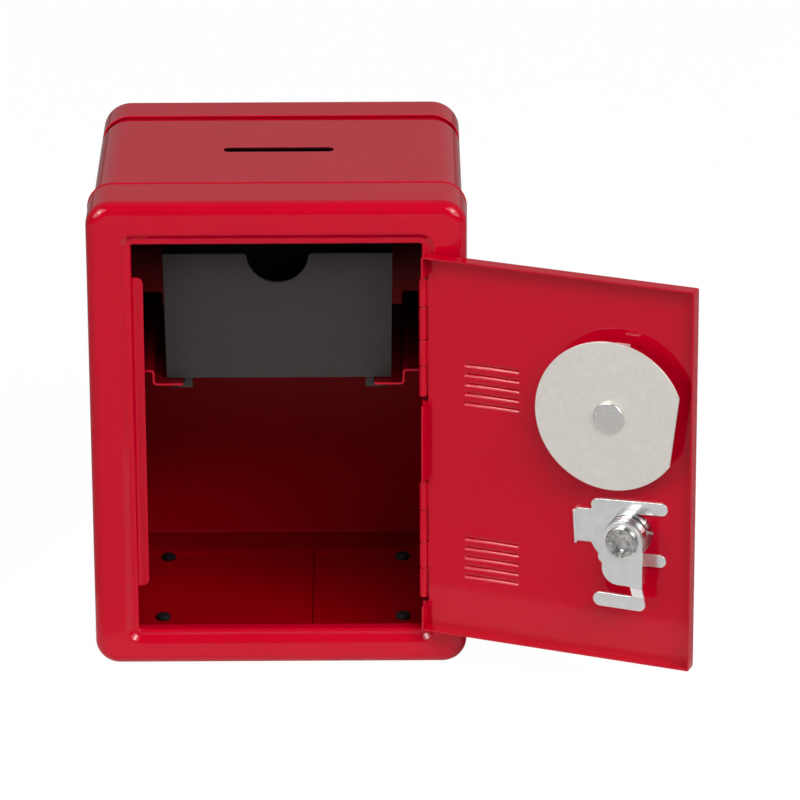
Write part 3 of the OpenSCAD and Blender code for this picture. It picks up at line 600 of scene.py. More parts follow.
# %% Strike lip
LIP_W = 3.4
LIP_BEND_R = 1.2
LIP_R = 2.0
LIP_LOW = -52.6
LIP_HIGH = 52.7
RETURN_NEAR = 0.1


def along_side(middle):
    """Whether a face lies on the straight part of a doorway side."""
    return abs(middle.z - DOORWAY_Z) < DOOR_HALF_H - DOORWAY_R


def is_upright(edge):
    """Whether an edge runs mostly up and down."""
    return abs(edge.verts[0].co.z - edge.verts[1].co.z) > 1


def is_level(edge):
    """Whether an edge stays at one height."""
    return abs(edge.verts[0].co.z - edge.verts[1].co.z) < TOUCH


def grow_strike_lip(bm):
    """Shortens the left return where the lip starts, bends the lip out of it and rounds its free corners."""
    left = -DOOR_HALF_W
    behind_fold = FRONT_Y + BAND_D + FOLD_R
    cut_planes(bm, lambda c: abs(c.x - left) < RETURN_NEAR and c.y > behind_fold and along_side(c),
               [(2, LIP_LOW), (2, LIP_HIGH)])
    start = FRONT_Y + BAND_D + RETURN_D - FRAME_T - LIP_BEND_R
    rear = [e for e in bm.edges if e.is_boundary and is_upright(e) and all(
        abs(v.co.x - left) < TOUCH and v.co.y > start and LIP_LOW - TOUCH < v.co.z < LIP_HIGH + TOUCH
        for v in e.verts)]
    bmesh.ops.split_edges(bm, edges=[e for f in rear[0].link_faces for e in f.edges if is_level(e)])
    for vert in {v for e in rear for v in e.verts}:
        vert.co.y = start
    bent = spun_copy(bm, rear, (left + LIP_BEND_R, start, 0), (0, 0, -1), pi / 2, 6)
    free = moved_copy(bm, bent, (LIP_W - LIP_BEND_R, 0, 0))
    round_bends(bm, [(vert, LIP_R, 6) for vert in {v for e in free for v in e.verts}])


print("strike lip:", LIP_W, "x", round(LIP_HIGH - LIP_LOW, 1), "mm")

# %% [markdown]
# The frame itself could be carved from a block, but a pressing has one wall thickness everywhere, and a
# carved block shows that it hasn't. So two sections are swept, one round the case and one round the
# doorway, and the flat crest bridges them. The hinge cut-outs are sawn through the band and the return on
# the right.

# %% Front frame


def outer_sweep():
    """Skirt and bead, carried round the case."""
    bm = bmesh.new()
    mid_x = HALF_W - CASE_R
    mid_z = HALF_H - CASE_R
    section = wire(bm, [
        (HALF_W + FLARE, FRONT_Y + SKIRT_D, -mid_z), (HALF_W, FRONT_Y + SKIRT_D - FLARE_L, -mid_z),
        (HALF_W, FRONT_Y, -mid_z), (mid_x + CORNER_IN, FRONT_Y, -mid_z),
    ])
    round_bends(bm, [(section[2], BEAD_R, 10)])
    sweep_round(bm, mid_x, mid_z)
    return bm


def doorway_sweep():
    """Slope, sunk band and return, carried round the doorway."""
    bm = bmesh.new()
    mid_x = DOOR_HALF_W - DOORWAY_R
    mid_z = DOOR_HALF_H - DOORWAY_R
    band_x = mid_x + DOORWAY_R + BAND_W
    section = wire(bm, [
        (band_x + SLOPE_W + CREST_STRIP, FRONT_Y, -mid_z), (band_x + SLOPE_W, FRONT_Y, -mid_z),
        (band_x, FRONT_Y + BAND_D, -mid_z), (mid_x + DOORWAY_R, FRONT_Y + BAND_D, -mid_z),
        (mid_x + DOORWAY_R, FRONT_Y + BAND_D + RETURN_D, -mid_z),
    ])
    round_bends(bm, [(section[1], SLOPE_BEND, 3), (section[2], BAND_BEND, 3), (section[3], FOLD_R, 5)])
    sweep_round(bm, mid_x, mid_z)
    bmesh.ops.translate(bm, verts=bm.verts, vec=(0, 0, DOORWAY_Z))
    return bm


def front_frame():
    """The whole pressing as one skin."""
    bm = outer_sweep()
    add_bmesh(bm, doorway_sweep())
    crest = [e for e in bm.edges if e.is_boundary and all(abs(v.co.y - FRONT_Y) < MERGE for v in e.verts)]
    bmesh.ops.bridge_loops(bm, edges=crest)
    face_outwards(bm, (0, -1, 0))
    inner_x = DOOR_HALF_W - FRAME_T
    outer_x = DOOR_HALF_W + BAND_W
    cut_planes(bm, lambda c: inner_x < c.x < outer_x and along_side(c), relief_planes())
    drop_faces(bm, lambda c: inner_x < c.x < outer_x and in_reliefs(c.z))
    grow_strike_lip(bm)
    return bm


add_piece(front_frame(), "front_frame_pressing", "cabinet", RED_ENAMEL, ["front_frame"],
          sheet=FRAME_T, edge=0.14)
print("front frame pressed, crest at", FRONT_Y, "mm")

# %% [markdown]
# A knuckle is a tongue of the sheet that is rolled round the pin. Rolled sheet could be drawn as a spiral,
# but its seam can't be seen here, so each knuckle is a ring, spun from its section, with a small web to the
# sheet. The frame has the second and the fourth knuckle of each hinge, and the door the two others.

# %% Hinge knuckles of the frame
KNUCKLE_R = 1.3
KNUCKLE_BORE = 0.8
KNUCKLE_STEPS = 28
KNUCKLE_EDGE = 0.24
FRAME_WEB = ((0, 0.85), (1.9, 2.0))


def knuckle_ring(z_low, z_high):
    """One rolled knuckle about the Z axis, by spinning its section."""
    bm = bmesh.new()
    wire(bm, [(KNUCKLE_BORE, 0, z_low), (KNUCKLE_R, 0, z_low), (KNUCKLE_R, 0, z_high),
              (KNUCKLE_BORE, 0, z_high), (KNUCKLE_BORE, 0, z_low)])
    bmesh.ops.remove_doubles(bm, verts=bm.verts, dist=MERGE)
    bmesh.ops.spin(bm, geom=bm.verts[:] + bm.edges[:], cent=(0, 0, 0), axis=(0, 0, 1), angle=2 * pi,
                   steps=KNUCKLE_STEPS, use_merge=True)
    bmesh.ops.remove_doubles(bm, verts=bm.verts, dist=MERGE)
    bmesh.ops.recalc_face_normals(bm, faces=bm.faces)
    return bm


def box_mesh(low, high):
    """A plain block between two corners, for a web or a printed mark."""
    bm = bmesh.new()
    bmesh.ops.create_cube(bm, size=1)
    bmesh.ops.scale(bm, vec=[h - l for l, h in zip(low, high)], verts=bm.verts)
    bmesh.ops.translate(bm, verts=bm.verts, vec=[(l + h) / 2 for l, h in zip(low, high)])
    return bm


def knuckle_heights(first):
    """Lower and upper height of every second knuckle of both hinges."""
    for top in HINGE_TOPS:
        for i in (first, first + 2):
            high = top - sum(KNUCKLES[:i]) - i * KNUCKLE_GAP
            yield high - KNUCKLES[i], high


def rolled_knuckles(first, web_low, web_high):
    """The knuckles of one leaf, each with its web to the sheet."""
    bm = bmesh.new()
    for low, high in knuckle_heights(first):
        add_bmesh(bm, knuckle_ring(low, high))
        add_bmesh(bm, box_mesh((*web_low, low), (*web_high, high)))
    return bm


def frame_knuckles():
    """The frame's knuckles, at the hinge's axis."""
    bm = rolled_knuckles(1, *FRAME_WEB)
    bmesh.ops.translate(bm, verts=bm.verts, vec=(HINGE_X, HINGE_Y, 0))
    return bm


add_piece(frame_knuckles(), "frame_hinge_knuckles", "cabinet", RED_ENAMEL, [],
          edge=KNUCKLE_EDGE)
print("frame knuckles:", len(list(knuckle_heights(1))))

# %% [markdown]
# The sleeve is one sheet, wrapped round and lapped under the floor. Its back end is necked in, so that the
# rear cover goes over it and ends flush. It is swept like the frame, so the neck follows the corners by
# itself. The coin slot is sawn into the top and its corners are rounded, and a narrow gap in the floor is
# the seam.

# %% Sleeve
SLEEVE_HALF_W = 58.9
SLEEVE_HALF_H = 77.7
SLEEVE_R = 9.2
SLEEVE_T = 0.6
SLEEVE_MID_X = SLEEVE_HALF_W - SLEEVE_R
SLEEVE_MID_Z = SLEEVE_HALF_H - SLEEVE_R
SLEEVE_FRONT = 5.0
NECK_START = 88.2
NECK_END = 90.0
NECK_IN = 0.9
NECK_BEND = 0.6
SLEEVE_END = 106.6
COIN_SLOT_L = 35.5
COIN_SLOT_W = 4.4
COIN_SLOT_Y = FRONT_Y + 57.7
COIN_SLOT_R = 1.9
SEAM_X = 9.7
SEAM_GAP = 0.35
# How far inside the skin a face may lie to count as the top, or as the floor, whose seam runs on in the neck
TOP_NEAR = 0.7
FLOOR_NEAR = 1.7


def cut_coin_slot(bm):
    """The slot through the top, with rounded ends."""
    half_l = COIN_SLOT_L / 2
    half_w = COIN_SLOT_W / 2
    top = SLEEVE_HALF_H - TOP_NEAR
    cut_planes(bm, lambda c: c.z > top and abs(c.x) < SLEEVE_MID_X, [
        (0, -half_l), (0, half_l), (1, COIN_SLOT_Y - half_w), (1, COIN_SLOT_Y + half_w)])
    drop_faces(bm, lambda c: c.z > top and abs(c.x) < half_l and abs(c.y - COIN_SLOT_Y) < half_w)
    corners = [v for v in bm.verts if v.co.z > top and abs(abs(v.co.x) - half_l) < TOUCH
               and abs(abs(v.co.y - COIN_SLOT_Y) - half_w) < TOUCH]
    round_bends(bm, [(corner, COIN_SLOT_R, 6) for corner in corners])


def cut_seam(bm):
    """The narrow gap where the sheet's two ends meet in the floor."""
    floor = FLOOR_NEAR - SLEEVE_HALF_H
    left = SEAM_X - SEAM_GAP / 2
    right = SEAM_X + SEAM_GAP / 2
    cut_planes(bm, lambda c: c.z < floor and abs(c.x) < SLEEVE_MID_X, [(0, left), (0, right)])
    drop_faces(bm, lambda c: c.z < floor and left < c.x < right)


def body_sleeve():
    """The sleeve with its neck, coin slot and seam."""
    bm = bmesh.new()
    neck_x = SLEEVE_HALF_W - NECK_IN
    section = wire(bm, [
        (SLEEVE_HALF_W, FRONT_Y + SLEEVE_FRONT, -SLEEVE_MID_Z),
        (SLEEVE_HALF_W, FRONT_Y + NECK_START, -SLEEVE_MID_Z),
        (neck_x, FRONT_Y + NECK_END, -SLEEVE_MID_Z), (neck_x, FRONT_Y + SLEEVE_END, -SLEEVE_MID_Z),
    ])
    round_bends(bm, [(section[1], NECK_BEND, 3), (section[2], NECK_BEND, 3)])
    sweep_round(bm, SLEEVE_MID_X, SLEEVE_MID_Z)
    face_outwards(bm, (0, 0, 1))
    cut_coin_slot(bm)
    cut_seam(bm)
    return bm


# The sleeve's inside and its cut edges, the coin slot's among them, take the darker lining, which is painted
# shade
add_piece(body_sleeve(), "wrapped_sleeve", "cabinet", RED_ENAMEL, ["body_sleeve"],
          sheet=SLEEVE_T, edge=0.1, lining=LINING_PAINTED_SHADE, rim=LINING_PAINTED_SHADE)
print("sleeve wrapped, coin slot", COIN_SLOT_L, "x", COIN_SLOT_W, "mm")

# %% [markdown]
# Behind the seam lies the lap, the sheet's other end. Without it light would come through the gap from
# below. It is a strip bent like the sleeve's side view, neck included, so that it lies against the sheet
# all the way back.

# %% Seam lap
SEAM_LAP = 7.0
LAP_START = SKIRT_D + 0.3
COVER_FRONT = 93.2


def seam_lap():
    """The strip behind the seam, which follows the sleeve and its neck."""
    bm = bmesh.new()
    x = SEAM_X - SEAM_LAP / 2
    z = -SLEEVE_HALF_H - SLEEVE_T
    wire(bm, [(x, FRONT_Y + LAP_START, z), (x, FRONT_Y + NECK_START, z),
              (x, FRONT_Y + NECK_END, z + NECK_IN), (x, FRONT_Y + COVER_FRONT, z + NECK_IN)])
    moved_copy(bm, bm.edges[:], (SEAM_LAP, 0, 0))
    face_outwards(bm, (0, 0, -1))
    return bm


# The lap's inner face, seen through the seam, is painted shade in the rails' dark red
add_piece(seam_lap(), "sleeve_seam_lap", "cabinet", RED_ENAMEL, [], sheet=SLEEVE_T, edge=0.1,
          lining=SHADED_COAT)
print("seam lap:", SEAM_LAP, "mm wide")

# %% [markdown]
# The rear cover is a shallow drawn pan. Its section is half of a side view, a wall and a bend into the flat
# back. The sweep leaves a hole in the middle, which one face fills, as flat as the real back. Its inside is
# darker red than the outside, as painted shade, and fades to near black towards the top.

# %% Rear cover
COVER_BEND = 1.8
COVER_STRIP = 3


def rear_cover():
    """The pan with its flat back."""
    bm = bmesh.new()
    section = wire(bm, [
        (SLEEVE_HALF_W, FRONT_Y + COVER_FRONT, -SLEEVE_MID_Z), (SLEEVE_HALF_W, 0, -SLEEVE_MID_Z),
        (SLEEVE_MID_X + COVER_STRIP, 0, -SLEEVE_MID_Z),
    ])
    round_bends(bm, [(section[1], COVER_BEND, 6)])
    sweep_round(bm, SLEEVE_MID_X, SLEEVE_MID_Z)
    rim = [e for e in bm.edges if e.is_boundary and all(abs(v.co.y) < MERGE for v in e.verts)]
    bmesh.ops.contextual_create(bm, geom=rim)
    face_outwards(bm, (0, 1, 0))
    return bm


# The inside takes the darker lining, which is painted shade
add_piece(rear_cover(), "pressed_rear_cover", "cabinet", RED_ENAMEL, ["rear_cover"],
          sheet=SLEEVE_T, edge=0.12, lining=COVER_LINING_PAINTED_SHADE)
print("rear cover pressed,", round(-FRONT_Y - COVER_FRONT, 1), "mm deep")

# %% [markdown]
# The tray hangs between two folded rails. Each has a flange on the wall, a shelf, a drop and a lip on which
# the tray's hooks run. One section with rounded bends is drawn out to the rail's length, as a folding press
# makes it. The left rail is the right one mirrored, with its faces turned back, because a mirror turns a
# skin inside out.

# %% Rails
RAIL_T = 0.8
RAIL_FRONT = 14.0
RAIL_BACK = 87.49
RAIL_FLANGE_H = 25
RAIL_DROP_X = 40.4
RAIL_LIP_X = 30.7
RAIL_OUTER_BEND = 1.4
RAIL_INNER_BEND = 0.6
TRAY_Z = SILL_Z + 80.7
SHELF_Z = TRAY_Z + 4.3
LIP_Z = TRAY_Z - 0.3


def rail(side):
    """One rail, drawn as the right one."""
    bm = bmesh.new()
    wall_x = SLEEVE_HALF_W - SLEEVE_T
    y = FRONT_Y + RAIL_FRONT
    section = wire(bm, [
        (wall_x, y, SHELF_Z + RAIL_FLANGE_H), (wall_x, y, SHELF_Z - RAIL_T),
        (RAIL_DROP_X, y, SHELF_Z - RAIL_T),
        (RAIL_DROP_X, y, LIP_Z - RAIL_T), (RAIL_LIP_X, y, LIP_Z - RAIL_T),
    ])
    round_bends(bm, [(section[1], RAIL_OUTER_BEND, 4), (section[2], RAIL_INNER_BEND, 3),
                     (section[3], RAIL_OUTER_BEND, 4)])
    moved_copy(bm, bm.edges[:], (0, RAIL_BACK - RAIL_FRONT, 0))
    face_outwards(bm, (0, 0, -1))
    if side < 0:
        bmesh.ops.scale(bm, vec=(-1, 1, 1), verts=bm.verts)
        bmesh.ops.reverse_faces(bm, faces=bm.faces)
    return bm


for side, hand in ((1, "right"), (-1, "left")):
    # The rails are dark red on both faces as painted shade; only their cut edges keep the outer coat
    add_piece(rail(side), hand + "_tray_rail", "cabinet", SHADED_COAT, [hand + "_rail"],
              sheet=RAIL_T, edge=0.12, lining=SHADED_COAT, rim=RED_ENAMEL)
print("rails:", round(RAIL_BACK - RAIL_FRONT, 1), "mm long")

# %% [markdown]
# The door stands far open, and drawing it at that angle would be hard to read. So it is drawn flat: u runs
# away from the hinge, y goes from the skin inwards and z is up. One turn then hangs it, with all that sits
# on it, on the hinge.

# %% Door sizes and the hinge's turn
DOOR_OPEN = 158
DOOR_TURN = radians(DOOR_OPEN)
DOOR_AWAY = Vector((-cos(DOOR_TURN), -sin(DOOR_TURN), 0))
DOOR_INWARD = Vector((-sin(DOOR_TURN), cos(DOOR_TURN), 0))
DOOR_T = 0.6
DOOR_SKIN = -0.85
DOOR_RIM = 3.65
DOOR_FOLD_R = 0.4
DOOR_R = 0.6
SKIN_STRIP = 0.2
DOOR_U0, DOOR_U1 = 0.75, 91.5
DOOR_Z0, DOOR_Z1 = SILL_Z + 1.4, SILL_Z + 129.0
DIAL_U, DIAL_Z = 65.0, SILL_Z + 85.4
LOCK_U, LOCK_Z = 70.4, SILL_Z + 44.4


def hang_on_door(bm):
    """Hangs a shape, drawn with x away from the hinge, y from the skin inwards and z up, on the open door."""
    turn = Matrix((DOOR_AWAY, DOOR_INWARD, Vector((0, 0, 1)))).transposed().to_4x4()
    bmesh.ops.transform(bm, matrix=Matrix.Translation(Vector((HINGE_X, HINGE_Y, 0))) @ turn, verts=bm.verts)
    bmesh.ops.reverse_faces(bm, faces=bm.faces)
    return bm


print("door:", DOOR_U1 - DOOR_U0, "x", round(DOOR_Z1 - DOOR_Z0, 1), "mm, open at", DOOR_OPEN, "degrees")

# %% [markdown]
# Two groups of five ribs are pressed into the door to stiffen it. From inside they are long hollows with a
# round bottom. A bump map would be quick, but a rib's lower side catches the light as a thin bright line,
# and only a real hollow does that. Each is inset and sunk a few times, gently at the lip, steeply down the
# sides and hardly at the bottom.

# %% Pressed ribs
RIB_ROWS = (SILL_Z + 86.9, SILL_Z + 27.6)
RIB_U = 23.2
RIB_HALF_L = 20.1 / 2
RIB_HALF_W = 1.2
RIB_PITCH = 3.25
RIB_END_IN = 0.6
# How far each step goes in from the one before, and how deep it lies in all
RIB_STEPS = ((0.14, 0.05), (0.2, 0.17), (0.22, 0.3), (0.14, 0.55), (0.12, 0.85), (0.2, 0.95))
RIB_HEIGHTS = [row + (i - 2) * RIB_PITCH for row in RIB_ROWS for i in range(5)]
PLATE_U0, PLATE_U1 = 3, 90
PLATE_NEAR = 1


def in_plate(middle):
    """Whether a face lies in the door's flat plate."""
    return PLATE_U0 < middle.x < PLATE_U1 and abs(middle.y - DOOR_SKIN) < PLATE_NEAR


def in_rib_columns(middle):
    """Whether a face of the plate lies between the two ends of the ribs."""
    return in_plate(middle) and abs(middle.x - RIB_U) < RIB_HALF_L


def press_rib(bm, z):
    """Presses one long hollow into the inner skin: its ends are drawn in, and six steps make it round."""
    faces = [f for f in bm.faces if in_rib_columns(f.calc_center_median())
             and abs(f.calc_center_median().z - z) < RIB_HALF_W]
    for vert in {v for f in faces for v in f.verts}:
        if abs(abs(vert.co.z - z) - RIB_HALF_W) < TOUCH and abs(abs(vert.co.x - RIB_U) - RIB_HALF_L) < TOUCH:
            vert.co.x += RIB_END_IN * (1 if vert.co.x < RIB_U else -1)
    done = 0.0
    for inset, depth in RIB_STEPS:
        bmesh.ops.inset_region(bm, faces=faces, thickness=inset, use_even_offset=True)
        bmesh.ops.translate(bm, verts=list({v for f in faces for v in f.verts}), vec=(0, done - depth, 0))
        done = depth


def press_ribs(bm):
    """Cuts the plate along the ribs' edges and middles, and presses them one by one."""
    cut_planes(bm, in_plate, [(0, RIB_U - RIB_HALF_L), (0, RIB_U + RIB_HALF_L)])
    cut_planes(bm, in_rib_columns, [(2, z + way * RIB_HALF_W) for z in RIB_HEIGHTS for way in (-1, 0, 1)])
    for z in RIB_HEIGHTS:
        press_rib(bm, z)


print("ribs:", len(RIB_HEIGHTS), "of", 2 * RIB_HALF_L, "mm")

# %% [markdown]
# The dial's bush and the lock's barrel each go through a round hole. A boolean would leave thin slivers
# round it that show in a mirror-like enamel. Here a square is dropped from the plate and bridged to a ring
# of as many points. The plate is parted between the two holes first, so that each square is cut from a face
# of its own.

# %% Holes in the door
BUSH_HOLE_R = 4.1
BARREL_HOLE_R = 7.05
HOLE_MARGIN = 2.5
HOLE_CUTS = 7
PARTING_Z = SILL_Z + 65
RIBS_END_U = 34


def punch_hole(bm, u, z, radius):
    """A round hole: a square is cut out of the plate, and its rim is bridged to a ring of as many points."""
    side = radius + HOLE_MARGIN
    upper = z > PARTING_Z

    def in_half(c):
        return c.x > RIBS_END_U and abs(c.y - DOOR_SKIN) < TOUCH and (c.z > PARTING_Z) == upper

    def rim_edges():
        return [e for e in bm.edges if e.is_boundary and all(
            abs(v.co.x - u) < side + TOUCH and abs(v.co.z - z) < side + TOUCH for v in e.verts)]

    cut_planes(bm, in_half, [(0, u - side), (0, u + side)])
    cut_planes(bm, lambda c: in_half(c) and abs(c.x - u) < side, [(2, z - side), (2, z + side)])
    drop_faces(bm, lambda c: in_half(c) and abs(c.x - u) < side and abs(c.z - z) < side)
    bmesh.ops.subdivide_edges(bm, edges=rim_edges(), cuts=HOLE_CUTS)
    rim = rim_edges()
    ring = bmesh.ops.create_circle(bm, segments=len(rim), radius=radius)["verts"]
    bmesh.ops.rotate(bm, verts=ring, cent=(0, 0, 0), matrix=Matrix.Rotation(pi / 2, 3, "X"))
    bmesh.ops.translate(bm, verts=ring, vec=(u, DOOR_SKIN, z))
    made = bmesh.ops.bridge_loops(bm, edges=rim + list({e for v in ring for e in v.link_edges}))["faces"]
    turned = [face for face in made if face.normal.y > 0]
    bmesh.ops.reverse_faces(bm, faces=turned)


def punch_holes(bm):
    """Parts the plate between its two holes and punches both."""
    cut_planes(bm, lambda c: in_plate(c) and c.x > RIBS_END_U, [(2, PARTING_Z)])
    punch_hole(bm, DIAL_U, DIAL_Z, BUSH_HOLE_R)
    punch_hole(bm, LOCK_U, LOCK_Z, BARREL_HOLE_R)


print("hole radii:", BUSH_HOLE_R, "and", BARREL_HOLE_R, "mm")

# %% [markdown]
# The door is a pan: a plate with a rim folded inwards on all four sides. Its edge section is swept round
# and one face fills the middle. Then come the ribs, the holes and the cut-outs beside the hinges, and at
# last the turn to its open place. The door's own knuckles follow as a second piece, because they are rolled
# after the pan is pressed.

# %% Door panel
RELIEF_W = 1.65
HINGE_SIDE_U = 13
WEB_SINK = 0.45
WEB_LAP = 0.3
DOOR_WEB = ((KNUCKLE_R - WEB_SINK, DOOR_SKIN), (RELIEF_W + WEB_LAP, DOOR_SKIN + DOOR_T))


def door_pan():
    """Plate and rim, drawn flat."""
    bm = bmesh.new()
    half_u = (DOOR_U1 - DOOR_U0) / 2 - DOOR_R
    half_z = (DOOR_Z1 - DOOR_Z0) / 2 - DOOR_R
    section = wire(bm, [(half_u + DOOR_R, DOOR_RIM, -half_z), (half_u + DOOR_R, DOOR_SKIN, -half_z),
                        (half_u + SKIN_STRIP, DOOR_SKIN, -half_z)])
    round_bends(bm, [(section[1], DOOR_FOLD_R, 4)])
    sweep_round(bm, half_u, half_z, 6)
    rim = [e for e in bm.edges if e.is_boundary and all(abs(v.co.y - DOOR_SKIN) < MERGE for v in e.verts)]
    bmesh.ops.contextual_create(bm, geom=rim)
    face_outwards(bm, (0, -1, 0))
    bmesh.ops.translate(bm, verts=bm.verts, vec=((DOOR_U0 + DOOR_U1) / 2, 0, (DOOR_Z0 + DOOR_Z1) / 2))
    return bm


def door_panel():
    """The whole pan with ribs, holes and hinge cut-outs, hung open."""
    bm = door_pan()
    press_ribs(bm)
    punch_holes(bm)
    cut_planes(bm, lambda c: c.x < HINGE_SIDE_U, [(0, RELIEF_W)])
    cut_planes(bm, lambda c: c.x < RELIEF_W, relief_planes())
    drop_faces(bm, lambda c: c.x < RELIEF_W and in_reliefs(c.z))
    return hang_on_door(bm)


add_piece(door_panel(), "door_pressing", "door", RED_ENAMEL, ["door_panel"],
          sheet=DOOR_T, edge=0.25)
door_knuckles = hang_on_door(rolled_knuckles(0, *DOOR_WEB))
add_piece(door_knuckles, "door_hinge_knuckles", "door", RED_ENAMEL, [], edge=KNUCKLE_EDGE)
print("door hung open at", DOOR_OPEN, "degrees, knuckles:", len(list(knuckle_heights(0))))

# %% [markdown]
# The small turned, stamped and cast parts are already exact solids. A copy of each gets its loose triangles
# joined and its sharp edges eased, because a real stamping or casting never has a knife edge, and that thin
# bright line along the edge is what tells the eye that it is metal. The tray's finger notch gets round
# shoulders.

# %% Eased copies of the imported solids
JOIN_MM = 0.003
FLAT_ANGLE = radians(0.6)
NOTCH_HALF_W = 12
WALL_EDGE = 0.5
NOTCH_SHOULDER_R = 1.5


def round_notch(bm):
    """Rounds the two shoulders where the finger notch meets the tray's top rim."""
    top = max(vert.co.z for vert in bm.verts)
    near = [e for e in bm.edges if all(
        abs(v.co.z - top) < TOUCH and abs(v.co.x) < NOTCH_HALF_W for v in e.verts)]
    shoulders = [e for e in near if abs(e.verts[0].co.y - e.verts[1].co.y) > WALL_EDGE
                 and abs(e.verts[0].co.x - e.verts[1].co.x) < WALL_EDGE]
    print("notch shoulders:", len(shoulders))
    bmesh.ops.bevel(bm, geom=shoulders, offset=NOTCH_SHOULDER_R, segments=5, profile=0.5, affect="EDGES",
                    material=-1)


def eased_copy(node, body, material, edge):
    """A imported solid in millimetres, with its triangles joined and its edges eased."""
    bm = bmesh.new()
    bm.from_mesh(nodes[node].data)
    bmesh.ops.scale(bm, vec=(1 / MM, 1 / MM, 1 / MM), verts=bm.verts)
    bmesh.ops.remove_doubles(bm, verts=bm.verts, dist=JOIN_MM)
    bmesh.ops.dissolve_limit(bm, angle_limit=FLAT_ANGLE, verts=bm.verts, edges=bm.edges)
    if node == "coin_tray":
        round_notch(bm)
    return add_piece(bm, node + "_finished", body, material, [node], edge=edge, sharp=32)


# Node, body, slot, finish, and how far the edges are eased in millimetres
SMALL_PARTS = (
    ("push_in_feet", "cabinet", "black_rubber", RUBBER, 0.2),
    ("upper_hinge_pin", "cabinet", "hinge_steel", WIRE_STEEL, 0.2),
    ("lower_hinge_pin", "cabinet", "hinge_steel", WIRE_STEEL, 0.2),
    ("dial_scale_ring", "door", "scale_aluminium", ALUMINIUM, 0.15),
    ("spindle_bush", "door", "bush_brass", BRASS, 0.15),
    ("dial_knob", "dial", "knob_plastic", KNOB_PLASTIC, 0.2),
    ("dial_spindle", "dial", "spindle_steel", NICKEL, 0.12),
    ("gate_washer", "dial", "washer_brass", BRASS, 0.08),
    ("gate_disc", "dial", "galvanised_steel", GALVANISED, 0.15),
    ("lock_barrel", "door", "lock_chrome", CHROME, 0.3),
    ("lock_clip", "door", "zinc_plate", ZINC_PLATE, 0.12),
    ("lock_plug", "lock", "lock_chrome", CHROME, 0.12),
    ("lock_cam", "lock", "zinc_plate", ZINC_PLATE, 0.15),
    ("cam_cap", "lock", "lock_chrome", PEENED_WITH_PAINTED_GLINTS, 0.2),
    ("key", "key", "key_steel", NICKEL, 0.25),
    ("coin_tray", "tray", "tray_plastic", TRAY_PLASTIC, 0.35),
)
for node, body, slot, material, edge in SMALL_PARTS:
    eased_copy(node, body, material, edge)
print("eased copies:", len(SMALL_PARTS))

# %% [markdown]
# The lock barrel is turned and threaded bar. Its thread is shown as shallow rings, each a small circle spun
# round the barrel's axis. Round ridges mirror every direction at once, so they light up where a plain
# cylinder is dark. A true helix would look the same from here and need many more faces.

# %% Thread rings
RING_R = 0.36
RING_MID = 6.74
RING_PLACES = (1.15, 2.15, 4.4, 5.3, 6.2)


def thread_rings():
    """The rings, spun round the barrel and hung with the door."""
    bm = bmesh.new()
    for place in RING_PLACES:
        ring = bmesh.ops.create_circle(bm, segments=12, radius=RING_R)["verts"]
        bmesh.ops.translate(bm, verts=ring, vec=(RING_MID, place, 0))
        geom = ring + list({e for v in ring for e in v.link_edges})
        bmesh.ops.spin(bm, geom=geom, cent=(0, 0, 0), axis=(0, 1, 0), angle=2 * pi, steps=64, use_merge=True)
    bmesh.ops.remove_doubles(bm, verts=bm.verts, dist=MERGE)
    bmesh.ops.recalc_face_normals(bm, faces=bm.faces)
    bmesh.ops.translate(bm, verts=bm.verts, vec=(LOCK_U, 0, LOCK_Z))
    return hang_on_door(bm)


add_piece(thread_rings(), "barrel_thread_rings", "door", CHROME)
print("thread rings:", len(RING_PLACES))

# %% [markdown]
# The dial's ring is printed, and the knob has a white index line. Prints are shown as skins a few
# hundredths of a millimetre thick: long marks at the tens, short ones between, and upright numbers that
# follow the ring round. A painted texture could do it too, but thin solid marks stay sharp at any distance.

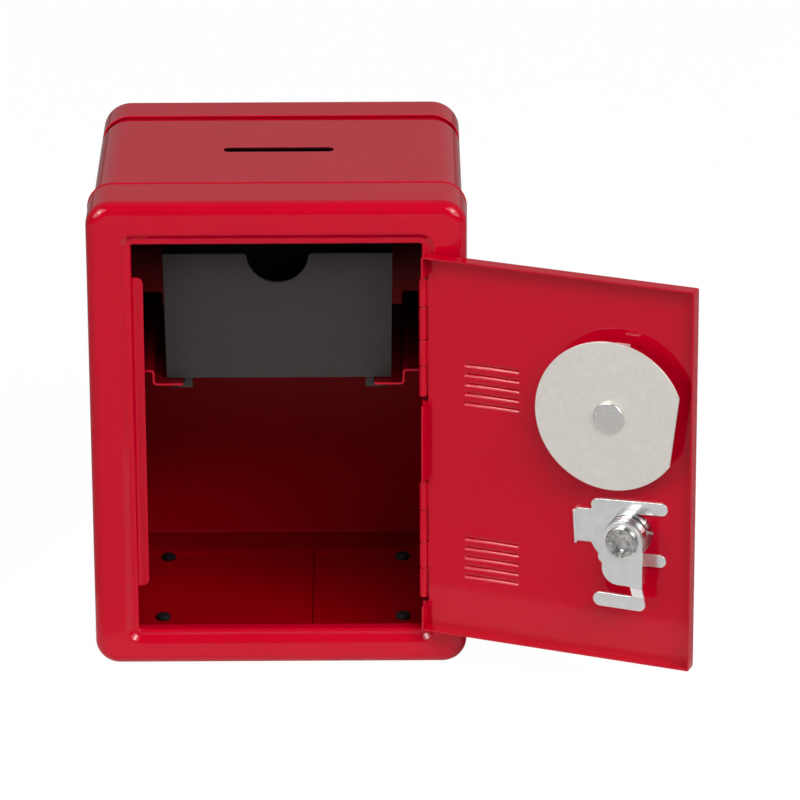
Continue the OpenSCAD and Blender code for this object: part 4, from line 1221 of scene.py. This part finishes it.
# %% Dial print
RING_FACE = -1.45
KNOB_FACE = -12.75
PRINT_T = 0.04
MARKS = 50
MARKS_PER_NUMBER = 5
UNITS_PER_MARK = 2
MARK_OUT = 20.5
MARK_HALF_W = 0.12
LONG_MARK = 1.3
SHORT_MARK = 0.7
NUMBER_R = 17.75
NUMBER_H = 2.5
INDEX_LOW, INDEX_HIGH = (-0.4, 3.5, 0), (0.4, 10.6, PRINT_T)


def to_dial_face(bm, face):
    """Turns a drawing, made in x and y as seen from outside, onto the door's outer side at the dial."""
    turn = Matrix(((-1, 0, 0), (0, 0, -1), (0, 1, 0))).to_4x4()
    bmesh.ops.transform(bm, matrix=Matrix.Translation(Vector((DIAL_U, face, DIAL_Z))) @ turn, verts=bm.verts)
    return hang_on_door(bm)


def printed_number(value):
    """A number in thin print, upright at the top of the ring."""
    curve = bpy.data.curves.new("number", "FONT")
    curve.body = str(value)
    curve.size = NUMBER_H
    curve.align_x = "CENTER"
    curve.align_y = "CENTER"
    curve.extrude = PRINT_T
    carrier = bpy.data.objects.new("number", curve)
    number = bmesh.new()
    number.from_mesh(bpy.data.meshes.new_from_object(carrier))
    bmesh.ops.translate(number, verts=number.verts, vec=(0, NUMBER_R, 0))
    bpy.data.objects.remove(carrier)
    bpy.data.curves.remove(curve)
    return number


def dial_print():
    """All marks and numbers of the ring as one piece."""
    bm = bmesh.new()
    for step in range(MARKS):
        numbered = step % MARKS_PER_NUMBER == 0
        length = LONG_MARK if numbered else SHORT_MARK
        mark = box_mesh((-MARK_HALF_W, MARK_OUT - length, 0), (MARK_HALF_W, MARK_OUT, PRINT_T))
        if numbered:
            add_bmesh(mark, printed_number(step * UNITS_PER_MARK))
        turn = Matrix.Rotation(-step * 2 * pi / MARKS, 3, "Z")
        bmesh.ops.rotate(mark, verts=mark.verts, cent=(0, 0, 0), matrix=turn)
        add_bmesh(bm, mark)
    return to_dial_face(bm, RING_FACE)


add_piece(dial_print(), "dial_ring_print", "door", KNOB_PLASTIC)
index_line = to_dial_face(box_mesh(INDEX_LOW, INDEX_HIGH), KNOB_FACE)
add_piece(index_line, "knob_index_line", "dial", WHITE_PRINT)
print("dial marks:", MARKS)

# %% [markdown]
# The Standard view shows a colour as it is written, which a coloured product needs.

# %% View
bpy.context.scene.view_settings.view_transform = "Standard"
